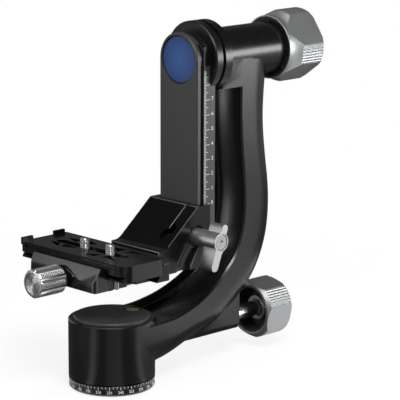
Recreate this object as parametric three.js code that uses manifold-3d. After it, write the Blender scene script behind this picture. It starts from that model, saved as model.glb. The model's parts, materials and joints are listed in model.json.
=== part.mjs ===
// Gimbal tripod head: a panning barrel carries a curved arm, the arm carries a swinging rail,
// and the rail carries a sliding platform with a quick release clamp and a camera plate.
// Millimetres, +Z up. The origin is the middle of the base's bottom face, on the pan axis.
// The tilt axis runs along X, the lens points along Y.

import * as THREE from 'three';
import { mergeVertices } from 'three/addons/utils/BufferGeometryUtils.js';
import Module from 'manifold-3d';

const wasm = await Module();
wasm.setup();

// Fits shared by every piece
const seatGap = 0.3;
const overrun = 3;

// Base flange with the degree ring on its rim
const baseRadius = 28.5;
const baseHeight = 7;
const baseWaistDepth = 0.5;
const baseBottomChamfer = 1.4;
const baseTopChamfer = 0.4;
const baseSpigotWall = 3.4;
const baseSpigotHeight = 1.7;
const groovePanGap = 0.6;

// Pan spindle and what holds it
const spindleShare = 0.351;
const spindleRadius = baseRadius * spindleShare;
const spindleFlangeShare = 0.702;
const spindleFlangeRadius = baseRadius * spindleFlangeShare;
const spindleFlangeHeight = 3.5;
const spindleFlangeInset = 0.6;
const spindleShoulder = 2;
const drumShare = 0.456;
const drumRadius = baseRadius * drumShare;
const socketRadius = 4.76;
const socketDepth = 12;
const socketChamfer = 1;
const spindleScrewShare = 0.582;
const spindleScrewCircle = baseRadius * spindleScrewShare;
const spindleScrewRadius = 1.9;
const spindleScrewHeadRadius = 3.2;
const spindleScrewHeadHeight = 1.9;
const spindleScrewLength = 5.2;
const spindleScrewCount = 3;
const panBearingWidth = 5;
const panBearingShare = 0.558;
const panBearingOuterRadius = baseRadius * panBearingShare;
const spindleWasherShare = 0.505;
const spindleWasherRadius = baseRadius * spindleWasherShare;
const spindleWasherHeight = 1;
const spindleNutShare = 0.842;
const spindleNutFlats = baseRadius * spindleNutShare;
const hexSides = 6;
const spindleNutHeight = 3;

// Barrel of the arm
const barrelTop = 46.3;
const barrelLip = 2;
const barrelRimChamfer = 0.9;
const capRim = 3.3;
const capRadius = baseRadius - capRim;
const capHeight = 3.2;
const capProud = 1.7;
const capChamfer = 0.6;
const levelInset = 6.7;
const levelX = capRadius - levelInset;
const levelRadius = 5;
const levelBezelWall = 0.9;
const levelDepth = 2.4;
const levelDome = 0.35;

// Curved arm
const tiltHeight = 210;
const throatReach = 106;
const armHalfWidth = 17.6;
const armTaperEnd = 100;
const armDepth = 33;
const armChamfer = 1.1;
const armFlatShare = 0.36;
const armInnerShares = [
  [0.03, -0.0141], [0.292, -0.0165], [0.453, -0.0019], [0.59, 0.0244], [0.731, 0.0684], [0.84, 0.1204],
  [0.92, 0.1783], [0.972, 0.2578], [0.997, 0.3524], [0.998, 0.438], [0.985, 0.5357], [0.967, 0.664],
  [0.9585, 0.7801], [0.962, 0.9022], [0.972, 0.9872],
];
const armDepthShares = [1.09, 0.98, 0.846, 0.915, 1.006, 1.055, 1.018, 0.967, 0.952, 0.99, 1.036];
const pocketRim = 2.8;
const pocketDepth = 6.5;
const pocketBow = 2.2;
const pocketStartShare = 0.155;
const pocketEndShare = 0.943;
const pocketRunoutShare = 0.1;

// Upper housing and its bearings
const tubeRadius = 17.7;
const tubeEnd = 143.4;
const tubeEndChamfer = 1;
const flangeRadius = 24.5;
const flangeChamfer = 0.8;
const fixedFlangeFront = 80.4;
const fixedFlangeBack = 86.7;
const tiltBearingOuterRadius = 13.8;
const tiltBearingWidth = 7;
const tiltBearingInset = 1.6;
const tubeShoulder = 2.6;
const thrustWasherHeight = 1.6;
const thrustWasherRadius = 12.4;

// Pan lock: a boss behind the arm, a shoe on the drum, a stud and a knob
const panLockHeight = 27;
const bossHalfWidth = 11.8;
const bossBottom = 19.4;
const bossTop = 50;
const bossStart = 50;
const bossEnd = 107;
const bossCorner = 5;
const studRadius = 5.4;
const shoeLength = 7;
const studInsideKnob = 9;

// Lower knob
const panKnobFront = 128.4;
const panKnobLength = 23.6;
const panKnobRadius = 20.4;
const panKnobFlat = 18.6;
const panKnobTurn = 31.5;
const panKnobArc = 38;
const panCupRadius = 16.3;
const panCupDepth = 13;
const panHubRadius = 8.5;
const panHubDepth = 7;
const panKnobChamfer = 2.6;
const panKnobLinerWall = 1.1;

// Upper knob
const tiltKnobFront = 144;
const tiltKnobLength = 31.8;
const tiltKnobRadius = 24.8;
const tiltKnobFlat = 21.9;
const tiltKnobTurn = -10;
const tiltKnobArc = 33;
const tiltKnobRingRadius = 21.8;
const tiltKnobRingWall = 1.1;
const tiltKnobFlare = 11;
const tiltKnobCupDepth = 7;
const tiltKnobInsertHeight = 6;
const tiltKnobRibCount = 8;
const tiltKnobRibWidth = 1.2;
const tiltKnobRibDepth = 1.4;
const tiltHubRadius = 12.6;
const knobEndChamfer = 1.6;
const knurlCount = 7;
const knurlDepth = 0.5;

// Tilt shaft
const shaftRadius = 7.5;
const shaftHeadRadius = 13;
const shaftHeadHeight = 3.4;
const shaftThreadRadius = 5;
const shaftThreadLength = 30;
const shaftScrewCircle = 10;
const shaftScrewCount = 3;
const shaftScrewRadius = 1.4;
const shaftScrewHeadRadius = 2.3;
const shaftScrewHeadHeight = 1.3;
const shaftScrewLength = 5;
const frictionRadius = 22.6;
const frictionThickness = 1.3;

// Swinging rail
const railFace = 60;
const railBack = 77.8;
const railHalfWidth = 17.6;
const railLipHalfWidth = 18;
const railLip = 3.3;
const railGroove = 3.4;
const railGrooveDepth = 3.1;
const railGrooveFloor = 0.8;
const railCornerChamfer = 0.8;
const railDrop = 136;
const railShoulderRise = 9.5;
const railNeckRadius = 16.4;
const movingFlangeFront = 72;
const movingFlangeBack = 78.6;
const badgeRadius = 15.8;
const badgeThickness = 1.1;
const badgeInset = 1.1;

// Platform bracket
const bracketTop = 115;
const bracketBottom = 73.6;
const bracketHalfWidth = 23.3;
const bracketFront = 55.8;
const bracketBack = 67.2;
const slantFootX = 29.4;
const slantFootZ = 93.3;
const slantFillet = 9;
const shelfHeight = 90.2;
const bracketEdgeChamfer = 0.9;
const slitOffset = 13;
const slitWidth = 1.1;
const slitDrop = 14;
const reliefRadius = 3.1;
const reliefSpread = 4.6;
const scoopRise = 5;
const scoopPath = [
  [1.0, 0.9, 0.92], [0.87, 0.79, 1.42], [0.74, 0.685, 1.56], [0.66, 0.57, 1.56], [0.63, 0.49, 1.4], [0.62, 0.42, 0.9],
];
const leverBoreRadius = 7.6;
const leverBoreDepth = 3.2;

// Locking lever on its stud
const leverX = 54.8;
const leverZ = 95.2;
const leverStudRadius = 3;
const leverFace = 46.6;
const leverDepth = 11.6;
const leverHubRadius = 6.3;
const leverTailDrop = 15.9;
const leverTailRun = 5.8;
const leverTailRadius = 3;
const leverHeadRise = 8.8;
const leverHeadRun = 3.2;
const leverHeadRadius = 2.6;
const leverTipShare = 0.55;
const leverRootShare = 0.92;
const leverCollarRadius = 5.9;
const leverScrewHeadRadius = 5.2;
const leverScrewHeadHeight = 1.4;
const leverScrewInset = 0.4;
const leverScrewRadius = 2;
const leverScrewBite = 6;
const leverHexRadius = 2;
const leverHexDepth = 0.9;
const leverSplineRadius = 3.5;
const leverSpringRadius = 4.5;
const leverSpringWire = 0.4;
const leverSpringTurns = 3;
const leverSpringLength = 6.4;

// Clamp under the plate
const clampNear = -16;
const clampFar = 50;
const jawOuter = -28.5;
const jawBend = 76.4;
const jawTop = 85.2;
const jawTopX = -24;
const jawInner = -17;
const clampBottom = 69.4;
const clampTop = 77.5;
const clampWallX = 28.2;
const fixedJawTop = 82.4;
const fixedJawNear = -25.6;
const jawEdgeChamfer = 2.2;
const clampScrewRadius = 3;
const clampAxisY = 17;
const clampAxisZ = 74.4;
const clampScrewInside = 34;
const guidePinRadius = 1.4;
const guidePinReach = 20;
const guidePinSpacing = 22;
const jawSpringRadius = 2.3;
const jawSpringWire = 0.35;
const jawSpringTurns = 5;
const jawSpringLength = 9;
const archHalfLength = 20;
const archRise = 6.4;
const stopPinRadius = 1.9;
const stopPinX = -10;
const nearBlockX = -0.4;
const nearBlockDepth = 3;

// Clamp knob
const clampKnobLength = 21.6;
const clampKnobRadius = 9.5;
const clampKnobFluteCount = 8;
const clampKnobFluteRadius = 1.5;
const clampKnobFluteBite = 0.7;
const clampKnobEndChamfer = 1.1;
const clampKnobRootRadius = 8.6;
const clampWasherRadius = 7;
const clampWasherThickness = 1.9;
const clampKnobDishRadius = 7.3;
const clampKnobDishDepth = 1.2;
const clampScrewEndInset = 5;

// Camera plate
const plateTop = 88.7;
const plateHalfWidth = 20;
const plateNear = -34.2;
const plateFar = 68;
const plateBody = 7;
const plateCorner = 8.5;
const plateFarCorner = 2;
const plateTopChamfer = 0.6;
const plateGrooveTop = 1.6;
const plateGrooveHeight = 1.7;
const plateGrooveDepth = 1.1;
const plateGrooveInset = 9;
const waistHalfWidth = 16.2;
const tailHalfWidth = 19;
const tailDrop = 2.8;
const tailLip = 1;
const slotHalfWidth = 3.5;
const slotNear = -15.5;
const slotFar = 53;
const slotStepHalfWidth = 5.2;
const slotStepHeight = 4;
const trussDepth = 2.6;
const lugHeight = 2.6;
const lugWidth = 9;
const lugThickness = 2.2;
const lugSideInset = 1.6;
const cameraScrewPlaces = [26, 0.9];
const cameraScrewRadius = 3.17;
const cameraScrewRise = 6.3;
const cameraScrewHeadRadius = 4.8;
const cameraScrewHeadHeight = 3;
const cameraScrewTipChamfer = 0.7;
const cameraScrewSlot = 1.2;
const stopScrewX = 12;
const stopScrewNear = -21;
const stopScrewFar = 54.4;
const stopScrewRadius = 2.2;
const stopScrewDrop = 2.4;
const stopScrewBite = 3;

// Counts of facets
const fineSides = 40;
const sides = 24;
const smallSides = 12;

const degrees = Math.PI / 180;

// Turns a three.js geometry into a closed solid with shared vertices and faces out
function toSolid(geometry) {
  const bare = geometry.clone();
  bare.deleteAttribute('normal');
  bare.deleteAttribute('uv');
  const merged = mergeVertices(bare, 1e-4);
  const index = merged.index.array;
  const position = merged.attributes.position;
  const corner = (i) => new THREE.Vector3().fromBufferAttribute(position, i);
  const triangles = [];
  let volume = 0;
  for (let i = 0; i < index.length; i += 3) {
    const [a, b, c] = [index[i], index[i + 1], index[i + 2]];
    if (a === b || b === c || c === a) continue;
    triangles.push([a, b, c]);
    volume += corner(a).dot(corner(b).cross(corner(c)));
  }
  const ordered = volume < 0 ? triangles.map(([a, b, c]) => [a, c, b]) : triangles;
  return new wasm.Manifold(new wasm.Mesh({
    numProp: 3,
    vertProperties: Float32Array.from(position.array),
    triVerts: Uint32Array.from(ordered.flat()),
  }));
}

// A profile of [radius, height] points turned about Z
function turned(profile, count = sides) {
  const points = profile.map(([radius, height]) => new THREE.Vector2(radius, height));
  return toSolid(new THREE.LatheGeometry(points, count).rotateX(Math.PI / 2));
}

// The same, turned about X, with the profile as [radius, x] points
function turnedX(profile, count = sides, y = 0, z = 0) {
  const points = profile.map(([radius, along]) => new THREE.Vector2(radius, along));
  const geometry = new THREE.LatheGeometry(points, count).rotateZ(-Math.PI / 2);
  return toSolid(geometry.translate(0, y, z));
}

// The same, turned about -Y, with the profile as [radius, distance towards -Y] points
function turnedY(profile, count = sides, x = 0, z = 0) {
  const points = profile.map(([radius, along]) => new THREE.Vector2(radius, along));
  const geometry = new THREE.LatheGeometry(points, count).rotateX(Math.PI);
  return toSolid(geometry.translate(x, 0, z));
}

// A straight round rod between two heights on one of the turning directions
const rod = (radius, from, to) => [[0, from], [radius, from], [radius, to], [0, to]];

// A tube wall between two radii
const ring = (inner, outer, from, to) => [[inner, from], [outer, from], [outer, to], [inner, to], [inner, from]];

function outline(points, holes = []) {
  const shape = new THREE.Shape(points.map(([u, v]) => new THREE.Vector2(u, v)));
  for (const hole of holes) {
    shape.holes.push(new THREE.Path(hole.map(([u, v]) => new THREE.Vector2(u, v))));
  }
  return shape;
}

// A shape in X and Y, carried from one height to another
function prismZ(shape, from, to) {
  const geometry = new THREE.ExtrudeGeometry(shape, { depth: to - from, bevelEnabled: false, curveSegments: 10 });
  return toSolid(geometry.translate(0, 0, from));
}

// A shape in X and Z, carried from one Y to another
function prismY(shape, from, to) {
  const geometry = new THREE.ExtrudeGeometry(shape, { depth: to - from, bevelEnabled: false, curveSegments: 10 });
  return toSolid(geometry.rotateX(Math.PI / 2).translate(0, to, 0));
}

// A shape in Y and Z, carried from one X to another
function prismX(shape, from, to) {
  const geometry = new THREE.ExtrudeGeometry(shape, { depth: to - from, bevelEnabled: false, curveSegments: 10 });
  const turn = new THREE.Matrix4().makeBasis(
    new THREE.Vector3(0, 1, 0), new THREE.Vector3(0, 0, 1), new THREE.Vector3(1, 0, 0));
  return toSolid(geometry.applyMatrix4(turn).translate(from, 0, 0));
}

function block(x0, x1, y0, y1, z0, z1) {
  const geometry = new THREE.BoxGeometry(x1 - x0, y1 - y0, z1 - z0);
  return toSolid(geometry.translate((x0 + x1) / 2, (y0 + y1) / 2, (z0 + z1) / 2));
}

// Rings of points with equal counts, skinned into one closed body with flat ends
function loft(rings) {
  const count = rings[0].length;
  const positions = rings.flat(2);
  const triangles = [];
  for (let i = 0; i + 1 < rings.length; i += 1) {
    for (let j = 0; j < count; j += 1) {
      const a = i * count + j;
      const b = i * count + (j + 1) % count;
      triangles.push(a, b, b + count, a, b + count, a + count);
    }
  }
  const last = (rings.length - 1) * count;
  for (let j = 1; j + 1 < count; j += 1) {
    triangles.push(0, j + 1, j, last, last + j, last + j + 1);
  }
  const geometry = new THREE.BufferGeometry();
  geometry.setAttribute('position', new THREE.Float32BufferAttribute(positions, 3));
  geometry.setIndex(triangles);
  return toSolid(geometry);
}

// A coil of round wire about Z that starts at height zero
class Helix extends THREE.Curve {
  constructor(radius, turns, from, to) {
    super();
    Object.assign(this, { radius, turns, from, to });
  }

  getPoint(t) {
    const angle = t * this.turns * 2 * Math.PI;
    return new THREE.Vector3(this.radius * Math.cos(angle), this.radius * Math.sin(angle),
      this.from + t * (this.to - this.from));
  }
}

function coil(radius, wire, turns, height) {
  const section = new THREE.Shape();
  const wireSides = 5;
  for (let i = 0; i < wireSides; i += 1) {
    const angle = (i / wireSides) * 2 * Math.PI;
    const place = [wire * Math.cos(angle), wire * Math.sin(angle)];
    if (i === 0) section.moveTo(...place);
    else section.lineTo(...place);
  }
  const geometry = new THREE.ExtrudeGeometry(section, {
    steps: turns * 8, bevelEnabled: false, extrudePath: new Helix(radius, turns, wire, height - wire),
  });
  return toSolid(geometry);
}

function finish(color, roughness, metalness) {
  return new THREE.MeshStandardMaterial({ color, roughness, metalness });
}

const black = finish(0x1c1c1d, 0.42, 0.6);
const darkGrey = finish(0x3b3b3c, 0.4, 0.6);
const matteBlack = finish(0x0c0c0d, 0.6, 0.1);
const silver = finish(0xb4b6b8, 0.28, 1);
const steel = finish(0x8d8f92, 0.35, 1);
const blue = finish(0x17386f, 0.35, 0.1);
const brass = finish(0xb5954e, 0.35, 1);
const levelGreen = finish(0x8a8c3c, 0.12, 0);

function toMesh(name, solid, material) {
  const { numProp, vertProperties, triVerts } = solid.getMesh();
  const geometry = new THREE.BufferGeometry();
  const position = new Float32Array((vertProperties.length / numProp) * 3);
  for (let i = 0; i < position.length / 3; i += 1) {
    position.set(vertProperties.subarray(i * numProp, i * numProp + 3), i * 3);
  }
  geometry.setAttribute('position', new THREE.BufferAttribute(position, 3));
  geometry.setIndex(new THREE.BufferAttribute(triVerts, 1));
  geometry.computeVertexNormals();
  const mesh = new THREE.Mesh(geometry, material);
  mesh.name = name;
  return mesh;
}

const head = new THREE.Group();

function addTo(group, name, solid, material) {
  group.add(toMesh(name, solid, material));
}

// Heights along the pan axis, from the base upwards
const recessTop = spindleFlangeInset + spindleFlangeHeight + seatGap;
const spigotTop = baseHeight + baseSpigotHeight;
const lowerBearingBottom = spigotTop + seatGap;
const lowerBearingTop = lowerBearingBottom + panBearingWidth;
const barrelBottom = baseHeight + groovePanGap;
const capBottom = barrelTop + capProud - capHeight;
const capSeat = capBottom - seatGap;
const nutTop = capSeat - seatGap;
const nutBottom = nutTop - spindleNutHeight;
const washerBottom = nutBottom - seatGap - spindleWasherHeight;
const upperBearingTop = washerBottom - seatGap;
const upperBearingBottom = upperBearingTop - panBearingWidth;
const drumBottom = lowerBearingTop + seatGap;
const drumTop = upperBearingBottom - seatGap;
const bearingBore = panBearingOuterRadius + seatGap;

// Base flange: a dished rim for the degree scale, a recess below for the spindle's flange
// and a spigot above that the lower bearing stands on
function makeBaseFlange() {
  const recessRadius = spindleFlangeRadius + seatGap;
  const boreRadius = spindleRadius + spindleShoulder + seatGap;
  const middle = (baseBottomChamfer + baseHeight) / 2;
  const body = turned([
    [recessRadius, 0], [baseRadius - baseBottomChamfer, 0], [baseRadius, baseBottomChamfer],
    [baseRadius - baseWaistDepth, middle], [baseRadius, baseHeight - baseTopChamfer],
    [baseRadius - baseTopChamfer, baseHeight], [boreRadius + baseSpigotWall, baseHeight],
    [boreRadius + baseSpigotWall, spigotTop], [boreRadius, spigotTop], [boreRadius, recessTop],
    [recessRadius, recessTop], [recessRadius, 0],
  ], fineSides);
  return spindleScrewPlaces().reduce((solid, [x, y]) => solid.subtract(
    toSolid(placedRod(spindleScrewRadius + seatGap, 0, baseHeight - seatGap, x, y))), body);
}

function spindleScrewPlaces() {
  return Array.from({ length: spindleScrewCount }, (_, i) => {
    const angle = (i / spindleScrewCount) * 2 * Math.PI + Math.PI / 2;
    return [spindleScrewCircle * Math.cos(angle), spindleScrewCircle * Math.sin(angle)];
  });
}

function placedRod(radius, from, to, x, y, count = smallSides) {
  const geometry = new THREE.CylinderGeometry(radius, radius, to - from, count);
  return geometry.rotateX(Math.PI / 2).translate(x, y, (from + to) / 2);
}

function makeSpindle() {
  const neck = spindleRadius + spindleShoulder;
  const bottom = spindleFlangeInset;
  const body = turned([
    [0, bottom + socketDepth], [socketRadius, bottom + socketDepth], [socketRadius, bottom + socketChamfer],
    [socketRadius + socketChamfer, bottom], [spindleFlangeRadius, bottom],
    [spindleFlangeRadius, bottom + spindleFlangeHeight], [neck, bottom + spindleFlangeHeight],
    [neck, spigotTop], [spindleRadius, spigotTop], [spindleRadius, drumBottom], [drumRadius, drumBottom],
    [drumRadius, drumTop], [spindleRadius, drumTop], [spindleRadius, nutTop], [0, nutTop],
  ]);
  return spindleScrewPlaces().reduce((solid, [x, y]) => {
    const clear = seatGap;
    const sink = bottom + spindleScrewHeadHeight + clear;
    const hole = toSolid(placedRod(spindleScrewRadius + clear, 0, baseHeight, x, y));
    const seat = toSolid(placedRod(spindleScrewHeadRadius + clear, 0, sink, x, y));
    return solid.subtract(hole).subtract(seat);
  }, body);
}

function makeSpindleScrew() {
  const top = spindleScrewHeadHeight;
  const socket = spindleScrewHeadRadius / 2;
  return turned([
    [0, top / 2], [socket, top / 2], [socket, 0], [spindleScrewHeadRadius, 0], [spindleScrewHeadRadius, top],
    [spindleScrewRadius, top], [spindleScrewRadius, spindleScrewLength], [0, spindleScrewLength],
  ], smallSides);
}

function makeBearing(inner, outer, width) {
  const chamfer = seatGap;
  return turned([
    [inner, chamfer], [inner + chamfer, 0], [outer - chamfer, 0], [outer, chamfer], [outer, width - chamfer],
    [outer - chamfer, width], [inner + chamfer, width], [inner, width - chamfer], [inner, chamfer],
  ]);
}

function makeSpindleNut() {
  const corner = spindleNutFlats / 2 / Math.cos(Math.PI / hexSides);
  const points = Array.from({ length: hexSides }, (_, i) => {
    const angle = (i / hexSides) * 2 * Math.PI;
    return [corner * Math.cos(angle), corner * Math.sin(angle)];
  });
  const body = prismZ(outline(points), nutBottom, nutTop);
  return body.subtract(turned(rod(spindleRadius + seatGap, nutBottom - overrun, nutTop + overrun)));
}

const panBase = new THREE.Group();
head.add(panBase);
addTo(panBase, 'base_flange', makeBaseFlange(), black);
addTo(panBase, 'pan_spindle', makeSpindle(), steel);
spindleScrewPlaces().forEach(([x, y], i) => {
  const screw = toMesh(`spindle_screw_${i + 1}`, makeSpindleScrew(), steel);
  screw.position.set(x, y, spindleFlangeInset);
  panBase.add(screw);
});
addTo(panBase, 'spindle_washer',
  turned(ring(spindleRadius + seatGap, spindleWasherRadius, washerBottom, washerBottom + spindleWasherHeight)), steel);
addTo(panBase, 'spindle_nut', makeSpindleNut(), steel);

// The arm's inner face is a smooth curve from the barrel's top up to the tilt axis, and its depth
// is laid off square to it
const armCurve = new THREE.SplineCurve(armInnerShares.map(
  ([along, up]) => new THREE.Vector2(along * throatReach, barrelTop + up * (tiltHeight - barrelTop))));

const depthCurve = new THREE.SplineCurve(armDepthShares.map((share, i) => new THREE.Vector2(i, share)));

// The sides run from the barrel's flanks to the narrower upper arm as tangent planes
const taperAngle = Math.asin(baseRadius / Math.hypot(armTaperEnd, armHalfWidth))
  - Math.atan2(armHalfWidth, armTaperEnd);

function armStation(t) {
  const point = armCurve.getPointAt(t);
  const along = armCurve.getTangentAt(t);
  const outward = new THREE.Vector2(along.y, -along.x);
  const depth = armDepth * depthCurve.getPoint(t).y;
  const middle = point.x + outward.x * depth / 2;
  const flank = baseRadius / Math.cos(taperAngle) - middle * Math.tan(taperAngle);
  return { point, outward, depth, halfWidth: Math.max(armHalfWidth, flank) };
}

function armRing(t, section) {
  const { point, outward, depth, halfWidth } = armStation(t);
  return section(depth, halfWidth, t).map(([across, deep]) => [
    point.x + outward.x * deep, across, point.y + outward.y * deep]);
}

const armStations = 24;
const backSteps = 8;

// D section: flat inner face with small chamfers, flat sides, round back
function armSection(depth, halfWidth) {
  const points = [[-halfWidth + armChamfer, 0], [-halfWidth, armChamfer]];
  const flat = armFlatShare * depth;
  for (let i = 0; i <= backSteps; i += 1) {
    const angle = (i / backSteps) * Math.PI;
    points.push([-halfWidth * Math.cos(angle), flat + (depth - flat) * Math.sin(angle)]);
  }
  points.push([halfWidth, armChamfer], [halfWidth - armChamfer, 0]);
  return points;
}

// Long pocket in the inner face, with a rim on both sides and a bowed floor that runs out at its ends
function pocketSection(halfWidth, floor) {
  const wall = halfWidth - pocketRim;
  const steps = 4;
  const points = [[wall, -overrun], [-wall, -overrun]];
  for (let i = 0; i <= steps; i += 1) {
    const across = -1 + (2 * i) / steps;
    points.push([across * wall, floor + pocketBow * (1 - across * across)]);
  }
  return points;
}

function makePocket() {
  const rings = [];
  const steps = 22;
  for (let i = 0; i <= steps; i += 1) {
    const share = i / steps;
    const t = pocketStartShare + share * (pocketEndShare - pocketStartShare);
    const fromEnd = Math.min(share / pocketRunoutShare, 1);
    const floor = pocketDepth * Math.sin(fromEnd * Math.PI / 2) - pocketBow * (1 - fromEnd);
    rings.push(armRing(t, (depth, halfWidth) => pocketSection(halfWidth, floor)));
  }
  return loft(rings);
}

// Hollows of the barrel, from the bearing seats up to the cap's recess
function makeBarrelBore() {
  const lip = bearingBore - barrelLip;
  return turned([
    [0, barrelBottom - overrun], [bearingBore, barrelBottom - overrun], [bearingBore, drumBottom],
    [lip, drumBottom], [lip, drumTop], [bearingBore, drumTop], [bearingBore, capSeat],
    [capRadius + seatGap, capSeat], [capRadius + seatGap, barrelTop + overrun], [0, barrelTop + overrun],
  ]);
}

const frontBearingStart = fixedFlangeFront + tiltBearingInset;
const frontBearingEnd = frontBearingStart + tiltBearingWidth;
const tiltBore = tiltBearingOuterRadius + seatGap;
const rearWasherEnd = tubeEnd - tiltBearingInset - thrustWasherHeight;
const rearBearingEnd = rearWasherEnd - thrustWasherHeight - seatGap;
const rearBearingStart = rearBearingEnd - tiltBearingWidth;

function makeMainArm() {
  const rings = Array.from({ length: armStations + 1 }, (_, i) => armRing(i / armStations, armSection));
  const barrel = turned([
    [0, barrelBottom], [baseRadius - baseTopChamfer, barrelBottom], [baseRadius, barrelBottom + baseTopChamfer],
    [baseRadius, barrelTop - barrelRimChamfer], [baseRadius - barrelRimChamfer, barrelTop], [0, barrelTop],
  ], fineSides);
  const tube = turnedX([
    [0, fixedFlangeFront], [flangeRadius - flangeChamfer, fixedFlangeFront],
    [flangeRadius, fixedFlangeFront + flangeChamfer], [flangeRadius, fixedFlangeBack - flangeChamfer],
    [flangeRadius - flangeChamfer, fixedFlangeBack], [tubeRadius, fixedFlangeBack],
    [tubeRadius, tubeEnd - tubeEndChamfer], [tubeRadius - tubeEndChamfer, tubeEnd], [0, tubeEnd],
  ], fineSides, 0, tiltHeight);
  const boss = prismX(outline([
    [-bossHalfWidth + bossCorner, bossBottom], [bossHalfWidth - bossCorner, bossBottom],
    [bossHalfWidth - bossCorner / 3, bossBottom + bossCorner / 3],
    [bossHalfWidth, bossBottom + bossCorner], [bossHalfWidth, bossTop],
    [-bossHalfWidth, bossTop], [-bossHalfWidth, bossBottom + bossCorner],
    [-bossHalfWidth + bossCorner / 3, bossBottom + bossCorner / 3],
  ]), bossStart, bossEnd);
  const throat = prismY(throatOutline(), -baseRadius - overrun, baseRadius + overrun);
  const panStudBore = turnedX(rod(studRadius + seatGap, 0, bossEnd + overrun), smallSides, 0, panLockHeight);
  const tiltBoreCut = turnedX([
    [0, fixedFlangeFront - overrun], [tiltBore, fixedFlangeFront - overrun], [tiltBore, frontBearingEnd + seatGap],
    [tiltBore - tubeShoulder, frontBearingEnd + seatGap], [tiltBore - tubeShoulder, rearBearingStart - seatGap],
    [tiltBore, rearBearingStart - seatGap], [tiltBore, tubeEnd + overrun], [0, tubeEnd + overrun],
  ], sides, 0, tiltHeight);
  return loft(rings).subtract(makePocket()).add(boss.subtract(throat)).add(barrel).add(tube)
    .subtract(makeBarrelBore()).subtract(panStudBore).subtract(tiltBoreCut);
}

// The open side of the arm's curve, so that the boss never shows through the pocket
function throatOutline() {
  const points = [];
  const steps = 24;
  for (let i = 0; i <= steps; i += 1) {
    const { point, outward } = armStation(i / steps);
    const deep = pocketDepth + pocketBow + overrun;
    points.push([point.x + outward.x * deep, point.y + outward.y * deep]);
  }
  points.push([0, tiltHeight], [0, barrelTop]);
  return outline(points);
}

function makeCap() {
  const bottom = capBottom;
  const top = barrelTop + capProud;
  const disc = turned([
    [0, bottom], [capRadius, bottom], [capRadius, top - capChamfer], [capRadius - capChamfer, top], [0, top],
  ], fineSides);
  const hole = toSolid(placedRod(levelRadius + levelBezelWall + seatGap, top - levelDepth - seatGap,
    top + overrun, levelX, 0, sides));
  return disc.subtract(hole);
}

function makeLevelBezel() {
  return turned(ring(levelRadius, levelRadius + levelBezelWall, 0, levelDepth), sides);
}

function makeLevelVial() {
  const radius = levelRadius - seatGap;
  return turned([
    [0, 0], [radius, 0], [radius, levelDepth - levelDome], [radius * 0.6, levelDepth - levelDome / 3],
    [0, levelDepth],
  ], sides);
}

const panUnit = new THREE.Group();
head.add(panUnit);
addTo(panUnit, 'main_arm', makeMainArm(), black);
addTo(panUnit, 'barrel_cap', makeCap(), darkGrey);
const level = new THREE.Group();
level.position.set(levelX, 0, barrelTop + capProud - levelDepth);
panUnit.add(level);
addTo(level, 'level_bezel', makeLevelBezel(), matteBlack);
addTo(level, 'level_vial', makeLevelVial(), levelGreen);
[['lower_pan_bearing', lowerBearingBottom], ['upper_pan_bearing', upperBearingBottom]].forEach(([name, z]) => {
  const bearing = toMesh(name, makeBearing(spindleRadius + seatGap, panBearingOuterRadius, panBearingWidth), steel);
  bearing.position.z = z;
  panUnit.add(bearing);
});

const tiltUnit = new THREE.Group();
tiltUnit.position.z = tiltHeight;
panUnit.add(tiltUnit);
[['front_tilt_bearing', frontBearingStart], ['rear_tilt_bearing', rearBearingStart]].forEach(([name, x]) => {
  const bearing = toMesh(name, makeBearing(shaftRadius + seatGap, tiltBearingOuterRadius, tiltBearingWidth), steel);
  bearing.rotation.y = Math.PI / 2;
  bearing.position.x = x;
  tiltUnit.add(bearing);
});

// Outline of a knob's grip: four flats and four knurled arcs, as points in a plane
function gripOutline(radius, flat, turn, arc) {
  const points = [];
  const first = Math.acos(flat / radius);
  for (let quarter = 0; quarter < 4; quarter += 1) {
    const middle = turn * degrees + quarter * Math.PI / 2;
    const half = Math.min(arc / 2 * degrees, Math.PI / 4 - first / 2);
    for (let i = 0; i <= 2 * knurlCount; i += 1) {
      const angle = middle - half + (i / (2 * knurlCount)) * 2 * half;
      const reach = i % 2 === 0 ? radius - knurlDepth : radius;
      points.push([reach * Math.cos(angle), reach * Math.sin(angle)]);
    }
  }
  return points;
}

// A knob is built along +Z and turned on its side, so that its outline's angles run from -Y up to +Z
function layKnob(group, x, z) {
  group.rotation.set(0, Math.PI / 2, 0);
  group.position.set(x, 0, z);
  return group;
}

function knobSolid(body, radius, flat, turn, arc, length) {
  const points = gripOutline(radius, flat, turn, arc).map(([u, v]) => [-v, -u]);
  return body.intersect(prismZ(outline(points), -overrun, length + overrun));
}

function makePanKnob() {
  const body = turned([
    [0, panHubDepth], [panHubRadius, panHubDepth], [panHubRadius, panCupDepth], [panCupRadius, panCupDepth],
    [panCupRadius, 0], [panKnobRadius - panKnobChamfer, 0], [panKnobRadius, panKnobChamfer],
    [panKnobRadius, panKnobLength - knobEndChamfer], [panKnobRadius - knobEndChamfer, panKnobLength],
    [0, panKnobLength],
  ], fineSides);
  const bore = turned(rod(studRadius + seatGap, -overrun, panHubDepth + studInsideKnob + seatGap), smallSides);
  return knobSolid(body.subtract(bore), panKnobRadius, panKnobFlat, panKnobTurn, panKnobArc, panKnobLength);
}

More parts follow.
